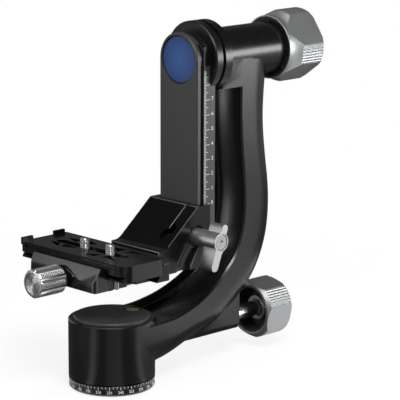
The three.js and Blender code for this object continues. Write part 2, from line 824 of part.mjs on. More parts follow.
function makeTiltKnob() {
  const cup = tiltKnobRingRadius - tiltKnobRingWall;
  const flareSteps = 5;
  const flare = Array.from({ length: flareSteps + 1 }, (_, i) => {
    const share = i / flareSteps;
    const rise = 1 - Math.cos(share * Math.PI / 2);
    return [tiltKnobRingRadius + (tiltKnobRadius - tiltKnobRingRadius) * rise,
      tiltKnobRingWall + (tiltKnobFlare - tiltKnobRingWall) * share];
  });
  const hubFront = rearWasherEnd + seatGap - tiltKnobFront;
  const body = turned([
    [0, hubFront], [tiltHubRadius, hubFront], [tiltHubRadius, tiltKnobCupDepth], [cup, tiltKnobCupDepth],
    [cup, 0], [tiltKnobRingRadius, 0], ...flare, [tiltKnobRadius, tiltKnobLength - knobEndChamfer],
    [tiltKnobRadius - knobEndChamfer, tiltKnobLength], [0, tiltKnobLength],
  ], fineSides);
  const bore = turned(rod(shaftThreadRadius + seatGap, hubFront - overrun, tiltBoreEnd()), smallSides);
  return knobSolid(body.subtract(bore), tiltKnobRadius, tiltKnobFlat, tiltKnobTurn, tiltKnobArc, tiltKnobLength);
}

const shaftShankEnd = rearWasherEnd - 2 * seatGap;
const tiltBoreEnd = () => shaftShankEnd + shaftThreadLength + seatGap - tiltKnobFront;

// Black insert of the upper knob: a disc with radial ribs that stand round the housing's end
function makeTiltKnobInsert() {
  const outer = tiltKnobRingRadius - tiltKnobRingWall - seatGap;
  const inner = tiltHubRadius + seatGap;
  const base = turned(ring(inner, outer, tiltKnobRibDepth, tiltKnobInsertHeight), fineSides);
  const ribbed = Array.from({ length: tiltKnobRibCount }, (_, i) => {
    const angle = (i / tiltKnobRibCount) * 2 * Math.PI;
    const geometry = new THREE.BoxGeometry(outer - inner, tiltKnobRibWidth, 2 * tiltKnobRibDepth);
    return toSolid(geometry.translate((outer + inner) / 2, 0, tiltKnobRibDepth).rotateZ(angle));
  });
  const rim = turned(ring(outer - tiltKnobRibWidth, outer, 0, tiltKnobRibDepth + overrun / 3), fineSides);
  const envelope = turned(ring(inner, outer, 0, tiltKnobInsertHeight), fineSides);
  return ribbed.reduce((solid, rib) => solid.add(rib), base.add(rim)).intersect(envelope);
}

function makePanKnobLiner() {
  const outer = panCupRadius - seatGap;
  const inner = panHubRadius + seatGap;
  const floor = panCupDepth - seatGap;
  return turned([
    [inner, floor - panKnobLinerWall], [outer - panKnobLinerWall, floor - panKnobLinerWall],
    [outer - panKnobLinerWall, panKnobLinerWall], [outer, panKnobLinerWall], [outer, floor], [inner, floor],
    [inner, floor - panKnobLinerWall],
  ], sides);
}

const shoeStart = drumRadius + seatGap;
const studStart = shoeStart + shoeLength + seatGap;

const panLock = new THREE.Group();
panUnit.add(panLock);
addTo(panLock, 'pan_brake_shoe', makeBrakeShoe(), brass);

// Brake shoe: a short rod whose end is hollowed to the drum
function makeBrakeShoe() {
  const body = turnedX(rod(studRadius, 0, shoeStart + shoeLength), smallSides, 0, panLockHeight);
  return body.subtract(turned(rod(shoeStart, 0, drumTop), fineSides));
}

addTo(panLock, 'pan_lock_stud', turnedX(
  rod(studRadius, studStart, panKnobFront + panHubDepth + studInsideKnob), smallSides, 0, panLockHeight), silver);
const panKnob = layKnob(new THREE.Group(), panKnobFront, panLockHeight);
panLock.add(panKnob);
addTo(panKnob, 'pan_lock_knob', makePanKnob(), silver);
addTo(panKnob, 'pan_knob_liner', makePanKnobLiner(), matteBlack);

// Swinging rail, in heights measured from the tilt axis
function railSection() {
  const half = [
    [railFace, railLipHalfWidth - railCornerChamfer], [railFace + railCornerChamfer, railLipHalfWidth],
    [railFace + railLip, railLipHalfWidth],
    [railFace + railLip + (railGroove - railGrooveFloor) / 2, railLipHalfWidth - railGrooveDepth],
    [railFace + railLip + (railGroove + railGrooveFloor) / 2, railLipHalfWidth - railGrooveDepth],
    [railFace + railLip + railGroove, railHalfWidth], [railBack - railCornerChamfer, railHalfWidth],
    [railBack, railHalfWidth - railCornerChamfer],
  ];
  return outline([...half, ...half.map(([x, y]) => [x, -y]).reverse()]);
}

function makeRail() {
  const lipEnd = railFace + railLip;
  const grooveEnd = lipEnd + railGroove;
  const lower = prismZ(railSection(), -railDrop, 0);
  const upper = prismZ(railSection(), -seatGap, railShoulderRise);
  const roundTop = turnedX([
    [0, railFace], [railLipHalfWidth - railCornerChamfer, railFace],
    [railLipHalfWidth, railFace + railCornerChamfer], [railLipHalfWidth, grooveEnd], [0, grooveEnd],
  ], fineSides);
  const behind = block(grooveEnd, railBack, -railHalfWidth, railHalfWidth, -railShoulderRise, railShoulderRise);
  const lipDisc = turnedX([
    [0, railFace], [railLipHalfWidth - railCornerChamfer, railFace],
    [railLipHalfWidth, railFace + railCornerChamfer], [railLipHalfWidth, lipEnd],
    [railNeckRadius, lipEnd + railCornerChamfer], [railNeckRadius, movingFlangeFront],
    [flangeRadius - flangeChamfer, movingFlangeFront], [flangeRadius, movingFlangeFront + flangeChamfer],
    [flangeRadius, movingFlangeBack - flangeChamfer], [flangeRadius - flangeChamfer, movingFlangeBack],
    [0, movingFlangeBack],
  ], fineSides);
  const badgeSeat = railFace + badgeInset + badgeThickness + seatGap;
  const headSeat = badgeSeat + shaftHeadHeight + seatGap;
  const bore = turnedX([
    [0, railFace - overrun], [badgeRadius + seatGap, railFace - overrun], [badgeRadius + seatGap, badgeSeat],
    [shaftHeadRadius + seatGap, badgeSeat], [shaftHeadRadius + seatGap, headSeat],
    [shaftRadius + seatGap, headSeat], [shaftRadius + seatGap, movingFlangeBack + overrun],
    [0, movingFlangeBack + overrun],
  ], fineSides);
  const grooveTop = turnedGrooveCut();
  const topPart = upper.intersect(roundTop.add(behind));
  const screwHoles = shaftScrewPlaces().map(([y, z]) => turnedX(
    rod(shaftScrewRadius + seatGap, headSeat - overrun, headSeat + shaftScrewLength), smallSides, y, z));
  return [bore, ...screwHoles].reduce(
    (solid, cut) => solid.subtract(cut), lower.add(topPart).subtract(grooveTop).add(lipDisc));
}

// The side groove runs on round the top of the rail as a turned groove
function turnedGrooveCut() {
  const lipEnd = railFace + railLip;
  const middle = lipEnd + railGroove / 2;
  const wide = railLipHalfWidth + overrun;
  const cut = turnedX([
    [railNeckRadius, middle], [wide, lipEnd], [wide, lipEnd + railGroove], [railNeckRadius, middle],
  ], fineSides);
  return cut.intersect(block(railFace, railBack, -wide, wide, 0, wide));
}

function shaftScrewPlaces() {
  return Array.from({ length: shaftScrewCount }, (_, i) => {
    const angle = (i / shaftScrewCount) * 2 * Math.PI + Math.PI / 2;
    return [shaftScrewCircle * Math.cos(angle), shaftScrewCircle * Math.sin(angle)];
  });
}

const badgeFront = railFace + badgeInset;
const shaftHeadFront = badgeFront + badgeThickness + seatGap;
const shaftHeadBack = shaftHeadFront + shaftHeadHeight;

function makeTiltShaft() {
  const body = turnedX([
    [0, shaftHeadFront], [shaftHeadRadius, shaftHeadFront], [shaftHeadRadius, shaftHeadBack],
    [shaftRadius, shaftHeadBack], [shaftRadius, shaftShankEnd], [shaftThreadRadius, shaftShankEnd],
    [shaftThreadRadius, shaftShankEnd + shaftThreadLength], [0, shaftShankEnd + shaftThreadLength],
  ]);
  return shaftScrewPlaces().reduce((solid, [y, z]) => solid
    .subtract(turnedX(rod(shaftScrewRadius + seatGap, shaftHeadFront - overrun, shaftHeadBack + overrun),
      smallSides, y, z))
    .subtract(turnedX(rod(shaftScrewHeadRadius + seatGap, shaftHeadFront - overrun,
      shaftHeadFront + shaftScrewHeadHeight + seatGap), smallSides, y, z)), body);
}

function makeShaftScrew(y, z) {
  const head = shaftHeadFront + shaftScrewHeadHeight;
  return turnedX([
    [0, shaftHeadFront], [shaftScrewHeadRadius, shaftHeadFront], [shaftScrewHeadRadius, head],
    [shaftScrewRadius, head], [shaftScrewRadius, shaftHeadFront + shaftScrewLength],
    [0, shaftHeadFront + shaftScrewLength],
  ], smallSides, y, z);
}

const swing = new THREE.Group();
tiltUnit.add(swing);
addTo(swing, 'swing_rail', makeRail(), darkGrey);
addTo(swing, 'rail_badge', turnedX(rod(badgeRadius, badgeFront, badgeFront + badgeThickness), fineSides), blue);
addTo(swing, 'tilt_shaft', makeTiltShaft(), steel);
shaftScrewPlaces().forEach(([y, z], i) => {
  addTo(swing, `tilt_shaft_screw_${i + 1}`, makeShaftScrew(y, z), steel);
});
addTo(swing, 'friction_washer', turnedX(ring(shaftRadius + seatGap, frictionRadius,
  movingFlangeBack + seatGap, movingFlangeBack + seatGap + frictionThickness), fineSides), matteBlack);
addTo(swing, 'tilt_thrust_washer', turnedX(ring(shaftRadius + seatGap, thrustWasherRadius,
  rearBearingEnd + seatGap, rearBearingEnd + seatGap + thrustWasherHeight)), steel);

const tiltKnob = layKnob(new THREE.Group(), tiltKnobFront, 0);
swing.add(tiltKnob);
addTo(tiltKnob, 'tilt_lock_knob', makeTiltKnob(), silver);
const insert = toMesh('tilt_knob_insert', makeTiltKnobInsert(), matteBlack);
insert.position.z = tiltKnobCupDepth - tiltKnobInsertHeight - seatGap;
tiltKnob.add(insert);

// Platform, in world heights at rest: its group undoes the tilt axis height
const platform = new THREE.Group();
platform.position.z = -tiltHeight;
swing.add(platform);

// Concave corner between the slant and the shelf, as a round stretch
function filletPoints(steps = 6) {
  const slope = Math.atan2(bracketTop - slantFootZ, bracketFront - slantFootX);
  const points = [];
  for (let i = 0; i <= steps; i += 1) {
    const angle = slope * (1 - i / steps);
    points.push([
      slantFootX - slantFillet * (Math.sin(slope) - Math.sin(angle)),
      shelfHeight + slantFillet * (1 - Math.cos(angle)),
    ]);
  }
  return points;
}

const fixedJawInner = plateHalfWidth + seatGap;
const bodyNear = jawInner + seatGap;

function bracketOutline() {
  return outline([
    [bracketFront, bracketTop], ...filletPoints(), [fixedJawInner + seatGap, shelfHeight],
    [fixedJawInner + seatGap, bracketBottom], [bracketBack, bracketBottom], [bracketBack, bracketTop],
  ]);
}

// The cross-section of the gap that the plate's dovetail takes in the fixed jaw
function dovetailCut(side) {
  const lipZ = plateTop - plateBody - seatGap;
  const x = (half) => side * (half + seatGap);
  const floor = lipZ - tailDrop;
  return outline([
    [0, lipZ + overrun * 3], [x(waistHalfWidth), lipZ + overrun * 3], [x(waistHalfWidth), lipZ],
    [x(tailHalfWidth), floor], [x(tailHalfWidth), floor - tailLip - seatGap], [0, floor - tailLip - seatGap],
  ]);
}

function makeBracket() {
  const halfWidth = bracketHalfWidth;
  const body = prismY(bracketOutline(), -halfWidth, halfWidth);
  const fixedJaw = prismY(outline([
    [jawInner + seatGap, clampBottom], [clampWallX, clampBottom], [clampWallX, fixedJawTop],
    [fixedJawInner - tailLip, fixedJawTop], [0, fixedJawTop],
    [0, clampTop], [jawInner + seatGap, clampTop],
  ]), clampNear, clampFar);
  const nearFoot = prismY(outline([
    [clampWallX - tailDrop * 4, clampBottom + tailLip], [clampWallX, clampBottom + tailLip],
    [clampWallX, fixedJawTop], [clampWallX - tailDrop * 2, fixedJawTop],
    [clampWallX - tailDrop * 2, clampTop],
  ]), fixedJawNear, clampNear + overrun);
  const plateSpace = prismY(dovetailCut(1), fixedJawNear - overrun, clampFar + overrun);
  const plateBodySpace = block(-plateHalfWidth, fixedJawInner,
    plateNear, plateFar, plateTop - plateBody - seatGap, shelfHeight + overrun);
  const pinNotch = toSolid(placedRod(stopPinRadius + seatGap, clampBottom - overrun, clampTop + overrun,
    stopPinX, clampNear));
  const nearStep = block(nearBlockX, stopScrewX - 2 * stopScrewRadius, clampNear - overrun,
    clampNear + nearBlockDepth, clampBottom - overrun, clampTop + overrun);
  const cuts = [plateSpace, plateBodySpace, railSpace(), slitCut(), scoopCut(), ...leverBores(), ...clampBores(),
    pinNotch, nearStep];
  return cuts.reduce((solid, cut) => solid.subtract(cut), body.add(fixedJaw).add(nearFoot));
}

// Room for the rail: its front lip and the lips of the bracket that reach into its side grooves
function railSpace() {
  const lipEnd = railFace + railLip;
  const grooveEnd = lipEnd + railGroove;
  const gap = seatGap;
  const half = [
    [railFace - gap, railLipHalfWidth + gap], [lipEnd + gap, railLipHalfWidth + gap],
    [lipEnd + gap + (railGroove - railGrooveFloor) / 2, railLipHalfWidth - railGrooveDepth + 2 * gap],
    [grooveEnd - gap - (railGroove - railGrooveFloor) / 2, railLipHalfWidth - railGrooveDepth + 2 * gap],
    [grooveEnd - gap, railHalfWidth + gap], [bracketBack + overrun, railHalfWidth + gap],
  ];
  return prismZ(outline([...half, ...half.map(([x, y]) => [x, -y]).reverse()]),
    bracketBottom - overrun, bracketTop + overrun);
}

// The slit that lets the side next to the lever flex, and the relief holes where it ends
function slitCut() {
  const bottom = bracketTop - slitDrop;
  const slit = block(slantFootX, railFace, -slitOffset - slitWidth / 2, -slitOffset + slitWidth / 2,
    bottom, bracketTop + overrun);
  const relief = [0, 1].map((i) => {
    const y = -slitOffset + (i - 0.5) * reliefSpread * (1 - i * 0.5);
    const geometry = new THREE.CylinderGeometry(reliefRadius, reliefRadius, railFace - slantFootX, smallSides);
    return toSolid(geometry.rotateZ(Math.PI / 2).translate((railFace + slantFootX) / 2, y, bottom - i * reliefRadius));
  });
  return slit.add(relief[0]).add(relief[1]);
}

// A hollow sculpted in the bracket's lever side: a round channel from the stud down to the front,
// whose depth runs out at both ends
function scoopCut() {
  const points = scoopPath.map(([along, up, swell]) => ({
    x: along * railFace, z: up * bracketTop, radius: swell * scoopRise,
  }));
  const rings = points.map((point, i) => {
    const before = points[Math.max(i - 1, 0)];
    const after = points[Math.min(i + 1, points.length - 1)];
    const length = Math.hypot(after.x - before.x, after.z - before.z);
    const [dx, dz] = [(after.x - before.x) / length, (after.z - before.z) / length];
    return Array.from({ length: smallSides * 2 }, (_, j) => {
      const angle = (j / (smallSides * 2)) * 2 * Math.PI;
      const out = point.radius * Math.cos(angle);
      return [point.x - dz * out, -bracketHalfWidth - scoopRise + point.radius * Math.sin(angle), point.z + dx * out];
    });
  });
  return loft(rings);
}

function leverBores() {
  const face = bracketHalfWidth;
  return [
    turnedY(rod(leverBoreRadius, face - leverBoreDepth, face + overrun), sides, leverX, leverZ),
    turnedY(rod(leverStudRadius + seatGap, -face + leverBoreDepth, face + overrun), smallSides, leverX, leverZ),
  ];
}

// Bores for the clamp's screw and guide pins, open towards the moving jaw
function clampBores() {
  const start = jawInner - overrun;
  const screw = turnedX(rod(clampScrewRadius + seatGap, start, jawInner + clampScrewInside + seatGap),
    smallSides, clampAxisY, clampAxisZ);
  const pins = [-1, 1].map((side) => turnedX(rod(guidePinRadius + seatGap, start, jawInner + guidePinReach + seatGap),
    smallSides, clampAxisY + side * guidePinSpacing, clampAxisZ));
  const springs = [-1, 1].map((side) => turnedX(
    rod(jawSpringRadius + jawSpringWire + seatGap, start, bodyNear + jawSpringLength + seatGap),
    smallSides, clampAxisY + side * guidePinSpacing, clampAxisZ));
  return [screw, ...pins, ...springs];
}

// Moving jaw: vertical face below, slanted face above, a boss for the knob, hooked lip inside
function makeJaw() {
  const lipZ = plateTop - plateBody - seatGap;
  const tailX = -tailHalfWidth - seatGap;
  const waistX = -waistHalfWidth - seatGap;
  const sideX = -plateHalfWidth - seatGap;
  const floor = lipZ - tailDrop;
  const body = prismY(outline([
    [jawOuter, clampBottom], [jawInner, clampBottom], [jawInner, clampTop],
    [tailX, clampTop], [tailX, floor], [waistX, lipZ], [sideX, lipZ], [sideX, jawTop], [jawTopX, jawTop],
    [jawOuter, jawBend],
  ]), clampNear, clampFar);
  const arch = prismX(outline(archPoints()), jawOuter, (jawTopX + sideX) / 2);
  const cornerCuts = [[clampNear, 1], [clampFar, -1]].map(([y, side]) => prismZ(outline([
    [jawOuter - overrun, y - side * overrun],
    [jawOuter + jawEdgeChamfer + overrun, y - side * overrun],
    [jawOuter - overrun, y + side * (jawEdgeChamfer + overrun)],
  ]), clampBottom - overrun, jawTop + overrun));
  const bore = turnedX(rod(clampScrewRadius + seatGap, jawOuter - overrun, jawInner + overrun),
    smallSides, clampAxisY, clampAxisZ);
  const pinBores = [-1, 1].map((side) => turnedX(
    rod(guidePinRadius + seatGap, jawOuter + jawEdgeChamfer, jawInner + overrun),
    smallSides, clampAxisY + side * guidePinSpacing, clampAxisZ));
  return [...cornerCuts, bore, ...pinBores].reduce((solid, cut) => solid.subtract(cut), body.add(arch));
}

// The knob's seat rises in front of the slanted face as a flat-topped arch
function archPoints() {
  const points = [];
  const steps = 12;
  for (let i = 0; i <= steps; i += 1) {
    const across = -1 + (2 * i) / steps;
    const rise = archRise * (1 + Math.cos(across * Math.PI)) / 2;
    points.push([clampAxisY + across * archHalfLength, jawBend - seatGap + rise]);
  }
  points.push([clampAxisY + archHalfLength, clampBottom + seatGap]);
  points.push([clampAxisY - archHalfLength, clampBottom + seatGap]);
  return points;
}

// A limb from the lever's hub to a tip, with sides that draw in between
function limbOutline(tipX, tipZ, tipRadius) {
  const along = Math.atan2(tipZ, tipX);
  const length = Math.hypot(tipX, tipZ);
  const steps = 8;
  const left = [];
  for (let i = 0; i <= steps; i += 1) {
    const share = i / steps;
    const ease = Math.sin(Math.min(share / leverTipShare, 1) * Math.PI / 2);
    left.push([share * length, leverHubRadius * leverRootShare * (1 - ease) + tipRadius * ease]);
  }
  const right = left.map(([u, v]) => [u, -v]).reverse();
  for (let i = 1; i < steps; i += 1) {
    const angle = Math.PI / 2 - (i / steps) * Math.PI;
    left.push([length + tipRadius * Math.cos(angle), tipRadius * Math.sin(angle)]);
  }
  return [...left, ...right].map(([u, v]) => [
    leverX + u * Math.cos(along) - v * Math.sin(along),
    leverZ + u * Math.sin(along) + v * Math.cos(along)]);
}

// Distances along the lever's stud, towards -Y
const leverBack = leverFace - leverDepth;
const leverFoot = bracketHalfWidth - leverBoreDepth + seatGap;
const leverHeadFront = leverFace - leverScrewInset;
const leverHeadBack = leverHeadFront - leverScrewHeadHeight;
const leverSpringSeat = leverHeadBack - leverSpringLength - 2 * seatGap;
const leverSpringRoom = leverScrewHeadRadius + seatGap;
const leverStudEnd = leverSpringSeat - seatGap;

function makeLever() {
  const limbs = [
    limbOutline(-leverTailRun, -leverTailDrop, leverTailRadius),
    limbOutline(leverHeadRun, leverHeadRise, leverHeadRadius),
  ].map((points) => prismY(outline(points), -leverFace, -leverBack));
  const hub = turnedY(rod(leverHubRadius, leverBack, leverFace), sides, leverX, leverZ);
  const bore = turnedY([
    [0, leverBack - overrun], [leverSplineRadius + seatGap, leverBack - overrun],
    [leverSplineRadius + seatGap, leverSpringSeat], [leverSpringRoom, leverSpringSeat],
    [leverSpringRoom, leverFace + overrun], [0, leverFace + overrun],
  ], sides, leverX, leverZ);
  return limbs.reduce((solid, limb) => solid.add(limb), hub).subtract(bore);
}

// Stud across the slit: a threaded end inside the bracket, a collar against its side
// and a splined end inside the lever
function makeLeverStud() {
  const bite = leverStudEnd - leverScrewBite;
  return turnedY([
    [0, -bracketHalfWidth + leverBoreDepth + seatGap], [leverStudRadius, -bracketHalfWidth + leverBoreDepth + seatGap],
    [leverStudRadius, leverFoot], [leverCollarRadius, leverFoot], [leverCollarRadius, leverBack - seatGap],
    [leverSplineRadius, leverBack - seatGap], [leverSplineRadius, leverStudEnd],
    [leverScrewRadius + seatGap, leverStudEnd], [leverScrewRadius + seatGap, bite], [0, bite],
  ], sides, leverX, leverZ);
}

function makeLeverScrew() {
  const hexFloor = leverHeadFront - leverHexDepth;
  const body = turnedY([
    [0, leverStudEnd - leverScrewBite + seatGap], [leverScrewRadius, leverStudEnd - leverScrewBite + seatGap],
    [leverScrewRadius, leverHeadBack], [leverScrewHeadRadius, leverHeadBack],
    [leverScrewHeadRadius, leverHeadFront], [0, leverHeadFront],
  ], sides, leverX, leverZ);
  return body.subtract(turnedY(rod(leverHexRadius, hexFloor, leverHeadFront + overrun), 6, leverX, leverZ));
}

function makeClampKnob() {
  const dish = clampKnobLength - clampKnobDishDepth;
  const body = turned([
    [0, 0], [clampKnobRootRadius, 0], [clampKnobRadius, clampKnobEndChamfer],
    [clampKnobRadius, clampKnobLength - clampKnobEndChamfer],
    [clampKnobRadius - clampKnobEndChamfer, clampKnobLength], [clampKnobDishRadius, clampKnobLength],
    [clampKnobDishRadius, dish], [0, dish],
  ]);
  const bore = turned(rod(clampScrewRadius + seatGap, -overrun, clampKnobLength - clampScrewEndInset + seatGap),
    smallSides);
  const flutes = Array.from({ length: clampKnobFluteCount }, (_, i) => {
    const angle = ((i + 0.5) / clampKnobFluteCount) * 2 * Math.PI;
    const reach = clampKnobRadius + clampKnobFluteRadius - clampKnobFluteBite;
    return toSolid(placedRod(clampKnobFluteRadius, -overrun, clampKnobLength + overrun,
      reach * Math.cos(angle), reach * Math.sin(angle)));
  });
  return flutes.reduce((solid, flute) => solid.subtract(flute), body.subtract(bore));
}

const clampWasherX = jawOuter - seatGap - clampWasherThickness;
const clampKnobX = clampWasherX - seatGap;
const clampScrewEnd = clampKnobX - clampKnobLength + clampScrewEndInset;

// Camera plate: body with side grooves, a waist and a dovetail tail below, as one section in X and Z
function plateSection() {
  const bottom = plateTop - plateBody;
  const grooveTop = plateTop - plateGrooveTop;
  const grooveBottom = grooveTop - plateGrooveHeight;
  const tailTop = bottom - tailDrop;
  const half = [
    [plateHalfWidth - plateTopChamfer, plateTop], [plateHalfWidth, plateTop - plateTopChamfer],
    [plateHalfWidth, bottom], [waistHalfWidth, bottom], [tailHalfWidth, tailTop], [tailHalfWidth, tailTop - tailLip],
  ];
  return { half, grooveTop, grooveBottom, tailBottom: tailTop - tailLip };
}

function roundedPlan() {
  const points = [];
  const steps = 5;
  const corners = [[1, plateNear, plateCorner], [1, plateFar, plateFarCorner],
    [-1, plateFar, plateFarCorner], [-1, plateNear, plateCorner]];
  corners.forEach(([side, end, radius]) => {
    const inward = end < 0 ? 1 : -1;
    const arc = [];
    for (let i = 0; i <= steps; i += 1) {
      const angle = (i / steps) * Math.PI / 2;
      arc.push([side * (plateHalfWidth - radius * (1 - Math.sin(angle))), end + inward * radius * (1 - Math.cos(angle))]);
    }
    if (side * inward < 0) arc.reverse();
    points.push(...arc);
  });
  return points;
}

function makePlate() {
  const { half, grooveTop, grooveBottom, tailBottom } = plateSection();
  const mirrored = half.map(([x, z]) => [-x, z]).reverse();
  const body = prismY(outline([...half, ...mirrored]), plateNear, plateFar);
  const plan = prismZ(outline(roundedPlan()), tailBottom - overrun, plateTop + overrun);
  const grooves = [1, -1].map((side) => {
    const outer = side * (plateHalfWidth + overrun);
    const inner = side * (plateHalfWidth - plateGrooveDepth);
    return block(Math.min(outer, inner), Math.max(outer, inner), plateNear + plateGrooveInset,
      plateFar - plateFarCorner * 2, grooveBottom, grooveTop);
  });
  const slot = prismZ(slotOutline(slotHalfWidth), tailBottom - overrun, plateTop + overrun);
  const step = prismZ(slotOutline(slotStepHalfWidth), tailBottom - overrun, tailBottom + slotStepHeight);
  const pockets = trussShares.map((corners) => prismZ(outline(corners
    .map(([x, y]) => [x * plateHalfWidth, y * plateFar])), plateTop - trussDepth, plateTop + overrun));
  const stopHoles = stopScrewPlaces.map((y) => toSolid(placedRod(
    stopScrewRadius + seatGap, tailBottom - overrun, tailBottom + stopScrewBite, stopScrewX, y)));
  const lugs = [-1, 1].map((side) => {
    const outer = side * (plateHalfWidth - (side > 0 ? lugSideInset * 2 : 0));
    const inner = outer - side * lugWidth;
    return block(Math.min(outer, inner), Math.max(outer, inner), plateFar - lugThickness, plateFar,
      plateTop - lugThickness, plateTop + lugHeight);
  });
  const cuts = [...grooves, slot, step, ...pockets, ...stopHoles];
  return lugs.reduce((solid, lug) => solid.add(lug),
    cuts.reduce((solid, cut) => solid.subtract(cut), body.intersect(plan)));
}

function slotOutline(halfWidth) {
  const points = [];
  const steps = 6;
  const margin = halfWidth - slotHalfWidth;
  [[slotFar - slotHalfWidth + margin, 0], [slotNear + slotHalfWidth - margin, Math.PI]].forEach(([y, start]) => {
    for (let i = 0; i <= steps; i += 1) {
      const angle = start + (i / steps) * Math.PI;
      points.push([halfWidth * Math.cos(angle), y + halfWidth * Math.sin(angle)]);
    }
  });
  return outline(points);
}

// Camera screw: slotted head under the plate, thread through the slot
function makeCameraScrew() {
  const headTop = cameraScrewHeadHeight;
  const length = plateTop + cameraScrewRise - cameraScrewBottom;
  const body = turned([
    [0, 0], [cameraScrewHeadRadius, 0], [cameraScrewHeadRadius, headTop], [cameraScrewRadius, headTop],
    [cameraScrewRadius, length - cameraScrewTipChamfer],
    [cameraScrewRadius - cameraScrewTipChamfer, length], [0, length],
  ], smallSides * 2);
  return body.subtract(block(-cameraScrewHeadRadius - overrun, cameraScrewHeadRadius + overrun,
    -cameraScrewSlot / 2, cameraScrewSlot / 2, -overrun, cameraScrewSlot));
}

function makeStopScrew() {
  const top = stopScrewDrop + stopScrewBite - seatGap;
  const socket = stopScrewRadius / 2;
  return turned([
    [0, socket], [socket, socket], [socket, 0], [stopScrewRadius - seatGap, 0], [stopScrewRadius, seatGap],
    [stopScrewRadius, top], [0, top],
  ], smallSides);
}

const cameraScrewBottom = plateTop - plateBody - tailDrop - tailLip + seatGap;
const trussShares = [
  [[-0.254, 0.816], [-0.205, 0.67], [-0.566, 0.598]], [[-0.534, 0.57], [-0.209, 0.601], [-0.287, 0.367]],
  [[0.44, 0.799], [0.239, 0.605], [0.577, 0.605]], [[0.692, 0.557], [0.529, 0.374], [0.243, 0.435]],
  [[-0.593, 0.175], [-0.242, 0.034], [-0.639, 0.044]], [[-0.527, -0.008], [-0.235, -0.058], [-0.533, -0.254]],
  [[0.657, 0.183], [0.761, 0.007], [0.326, 0.017]], [[0.39, -0.019], [0.702, -0.071], [0.728, -0.259]],
];
const stopScrewPlaces = [stopScrewNear, stopScrewFar];
const clampPartNames = ['near', 'far'];

addTo(platform, 'platform_bracket', makeBracket(), black);
addTo(platform, 'clamp_stop_pin', toSolid(placedRod(
  stopPinRadius, clampBottom + seatGap, clampTop - seatGap, stopPinX, clampNear)), steel);
addTo(platform, 'clamp_screw', turnedX(
  rod(clampScrewRadius, clampScrewEnd, jawInner + clampScrewInside), smallSides, clampAxisY, clampAxisZ), steel);

const leverTurn = new THREE.Group();
platform.add(leverTurn);
addTo(leverTurn, 'lever_stud', makeLeverStud(), steel);
addTo(leverTurn, 'lever_screw', makeLeverScrew(), darkGrey);
const leverSpring = toMesh('lever_spring',
  coil(leverSpringRadius, leverSpringWire, leverSpringTurns, leverSpringLength), steel);
leverSpring.rotation.x = Math.PI / 2;
leverSpring.position.set(leverX, -leverSpringSeat - seatGap, leverZ);
leverTurn.add(leverSpring);
addTo(leverTurn, 'lock_lever', makeLever(), silver);

const jaw = new THREE.Group();
platform.add(jaw);
addTo(jaw, 'clamp_jaw', makeJaw(), black);
[-1, 1].forEach((side, i) => {
  const y = clampAxisY + side * guidePinSpacing;
  const pinStart = jawOuter + jawEdgeChamfer + seatGap;
  addTo(jaw, `${clampPartNames[i]}_guide_pin`,
    turnedX(rod(guidePinRadius, pinStart, jawInner + guidePinReach), smallSides, y, clampAxisZ), steel);
  const spring = toMesh(`${clampPartNames[i]}_jaw_spring`,
    coil(jawSpringRadius, jawSpringWire, jawSpringTurns, jawSpringLength), steel);
  spring.rotation.y = Math.PI / 2;
  spring.position.set(bodyNear, y, clampAxisZ);
  platform.add(spring);
});
const washer = toMesh('clamp_washer',
  turned(ring(clampScrewRadius + seatGap, clampWasherRadius, 0, clampWasherThickness)), matteBlack);
washer.rotation.y = Math.PI / 2;
washer.position.set(clampWasherX, clampAxisY, clampAxisZ);
jaw.add(washer);
const clampKnob = new THREE.Group();
clampKnob.rotation.y = -Math.PI / 2;
clampKnob.position.set(clampKnobX, clampAxisY, clampAxisZ);
jaw.add(clampKnob);
addTo(clampKnob, 'clamp_knob', makeClampKnob(), silver);
addTo(clampKnob, 'clamp_knob_disc', turned(rod(clampKnobDishRadius - seatGap,
  clampKnobLength - clampKnobDishDepth + seatGap, clampKnobLength)), darkGrey);

const plate = new THREE.Group();
platform.add(plate);
addTo(plate, 'camera_plate', makePlate(), darkGrey);
cameraScrewPlaces.forEach((y, i) => {
  const screw = toMesh(`camera_screw_${i + 1}`, makeCameraScrew(), silver);
  screw.position.set(0, y, cameraScrewBottom);
  plate.add(screw);
});
stopScrewPlaces.forEach((y, i) => {
  const screw = toMesh(`${clampPartNames[i]}_stop_screw`, makeStopScrew(), darkGrey);
  screw.position.set(stopScrewX, y, cameraScrewBottom - seatGap - stopScrewDrop);
  plate.add(screw);
});

export default head;
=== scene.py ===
"""Dresses the gimbal tripod head: finer surfaces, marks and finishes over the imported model.

Shapes are written in millimetres and turned into metres when the mesh is made. +Z is up along
the pan axis, the tilt axis runs along X and the lens would point along Y."""
import json
import math

import bmesh
import bpy
import numpy as np
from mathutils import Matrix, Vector


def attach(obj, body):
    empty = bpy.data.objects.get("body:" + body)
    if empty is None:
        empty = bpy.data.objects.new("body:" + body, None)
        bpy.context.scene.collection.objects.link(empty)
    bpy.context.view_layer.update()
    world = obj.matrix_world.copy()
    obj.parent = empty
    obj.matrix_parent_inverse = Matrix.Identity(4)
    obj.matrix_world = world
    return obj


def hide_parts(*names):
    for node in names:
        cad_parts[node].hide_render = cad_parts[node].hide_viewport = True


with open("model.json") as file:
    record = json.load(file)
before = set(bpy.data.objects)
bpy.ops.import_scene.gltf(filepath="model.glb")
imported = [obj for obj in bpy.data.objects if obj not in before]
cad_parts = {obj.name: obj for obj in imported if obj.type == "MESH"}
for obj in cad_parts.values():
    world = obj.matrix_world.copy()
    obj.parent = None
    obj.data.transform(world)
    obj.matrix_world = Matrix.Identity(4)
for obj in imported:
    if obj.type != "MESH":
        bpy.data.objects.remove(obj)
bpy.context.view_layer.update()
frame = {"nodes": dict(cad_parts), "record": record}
MM = 0.001
TAU = 2 * math.pi
nodes = frame["nodes"]
record = frame["record"]
slots = {part["node"]: part["material_slot"] for part in record["subparts"]}
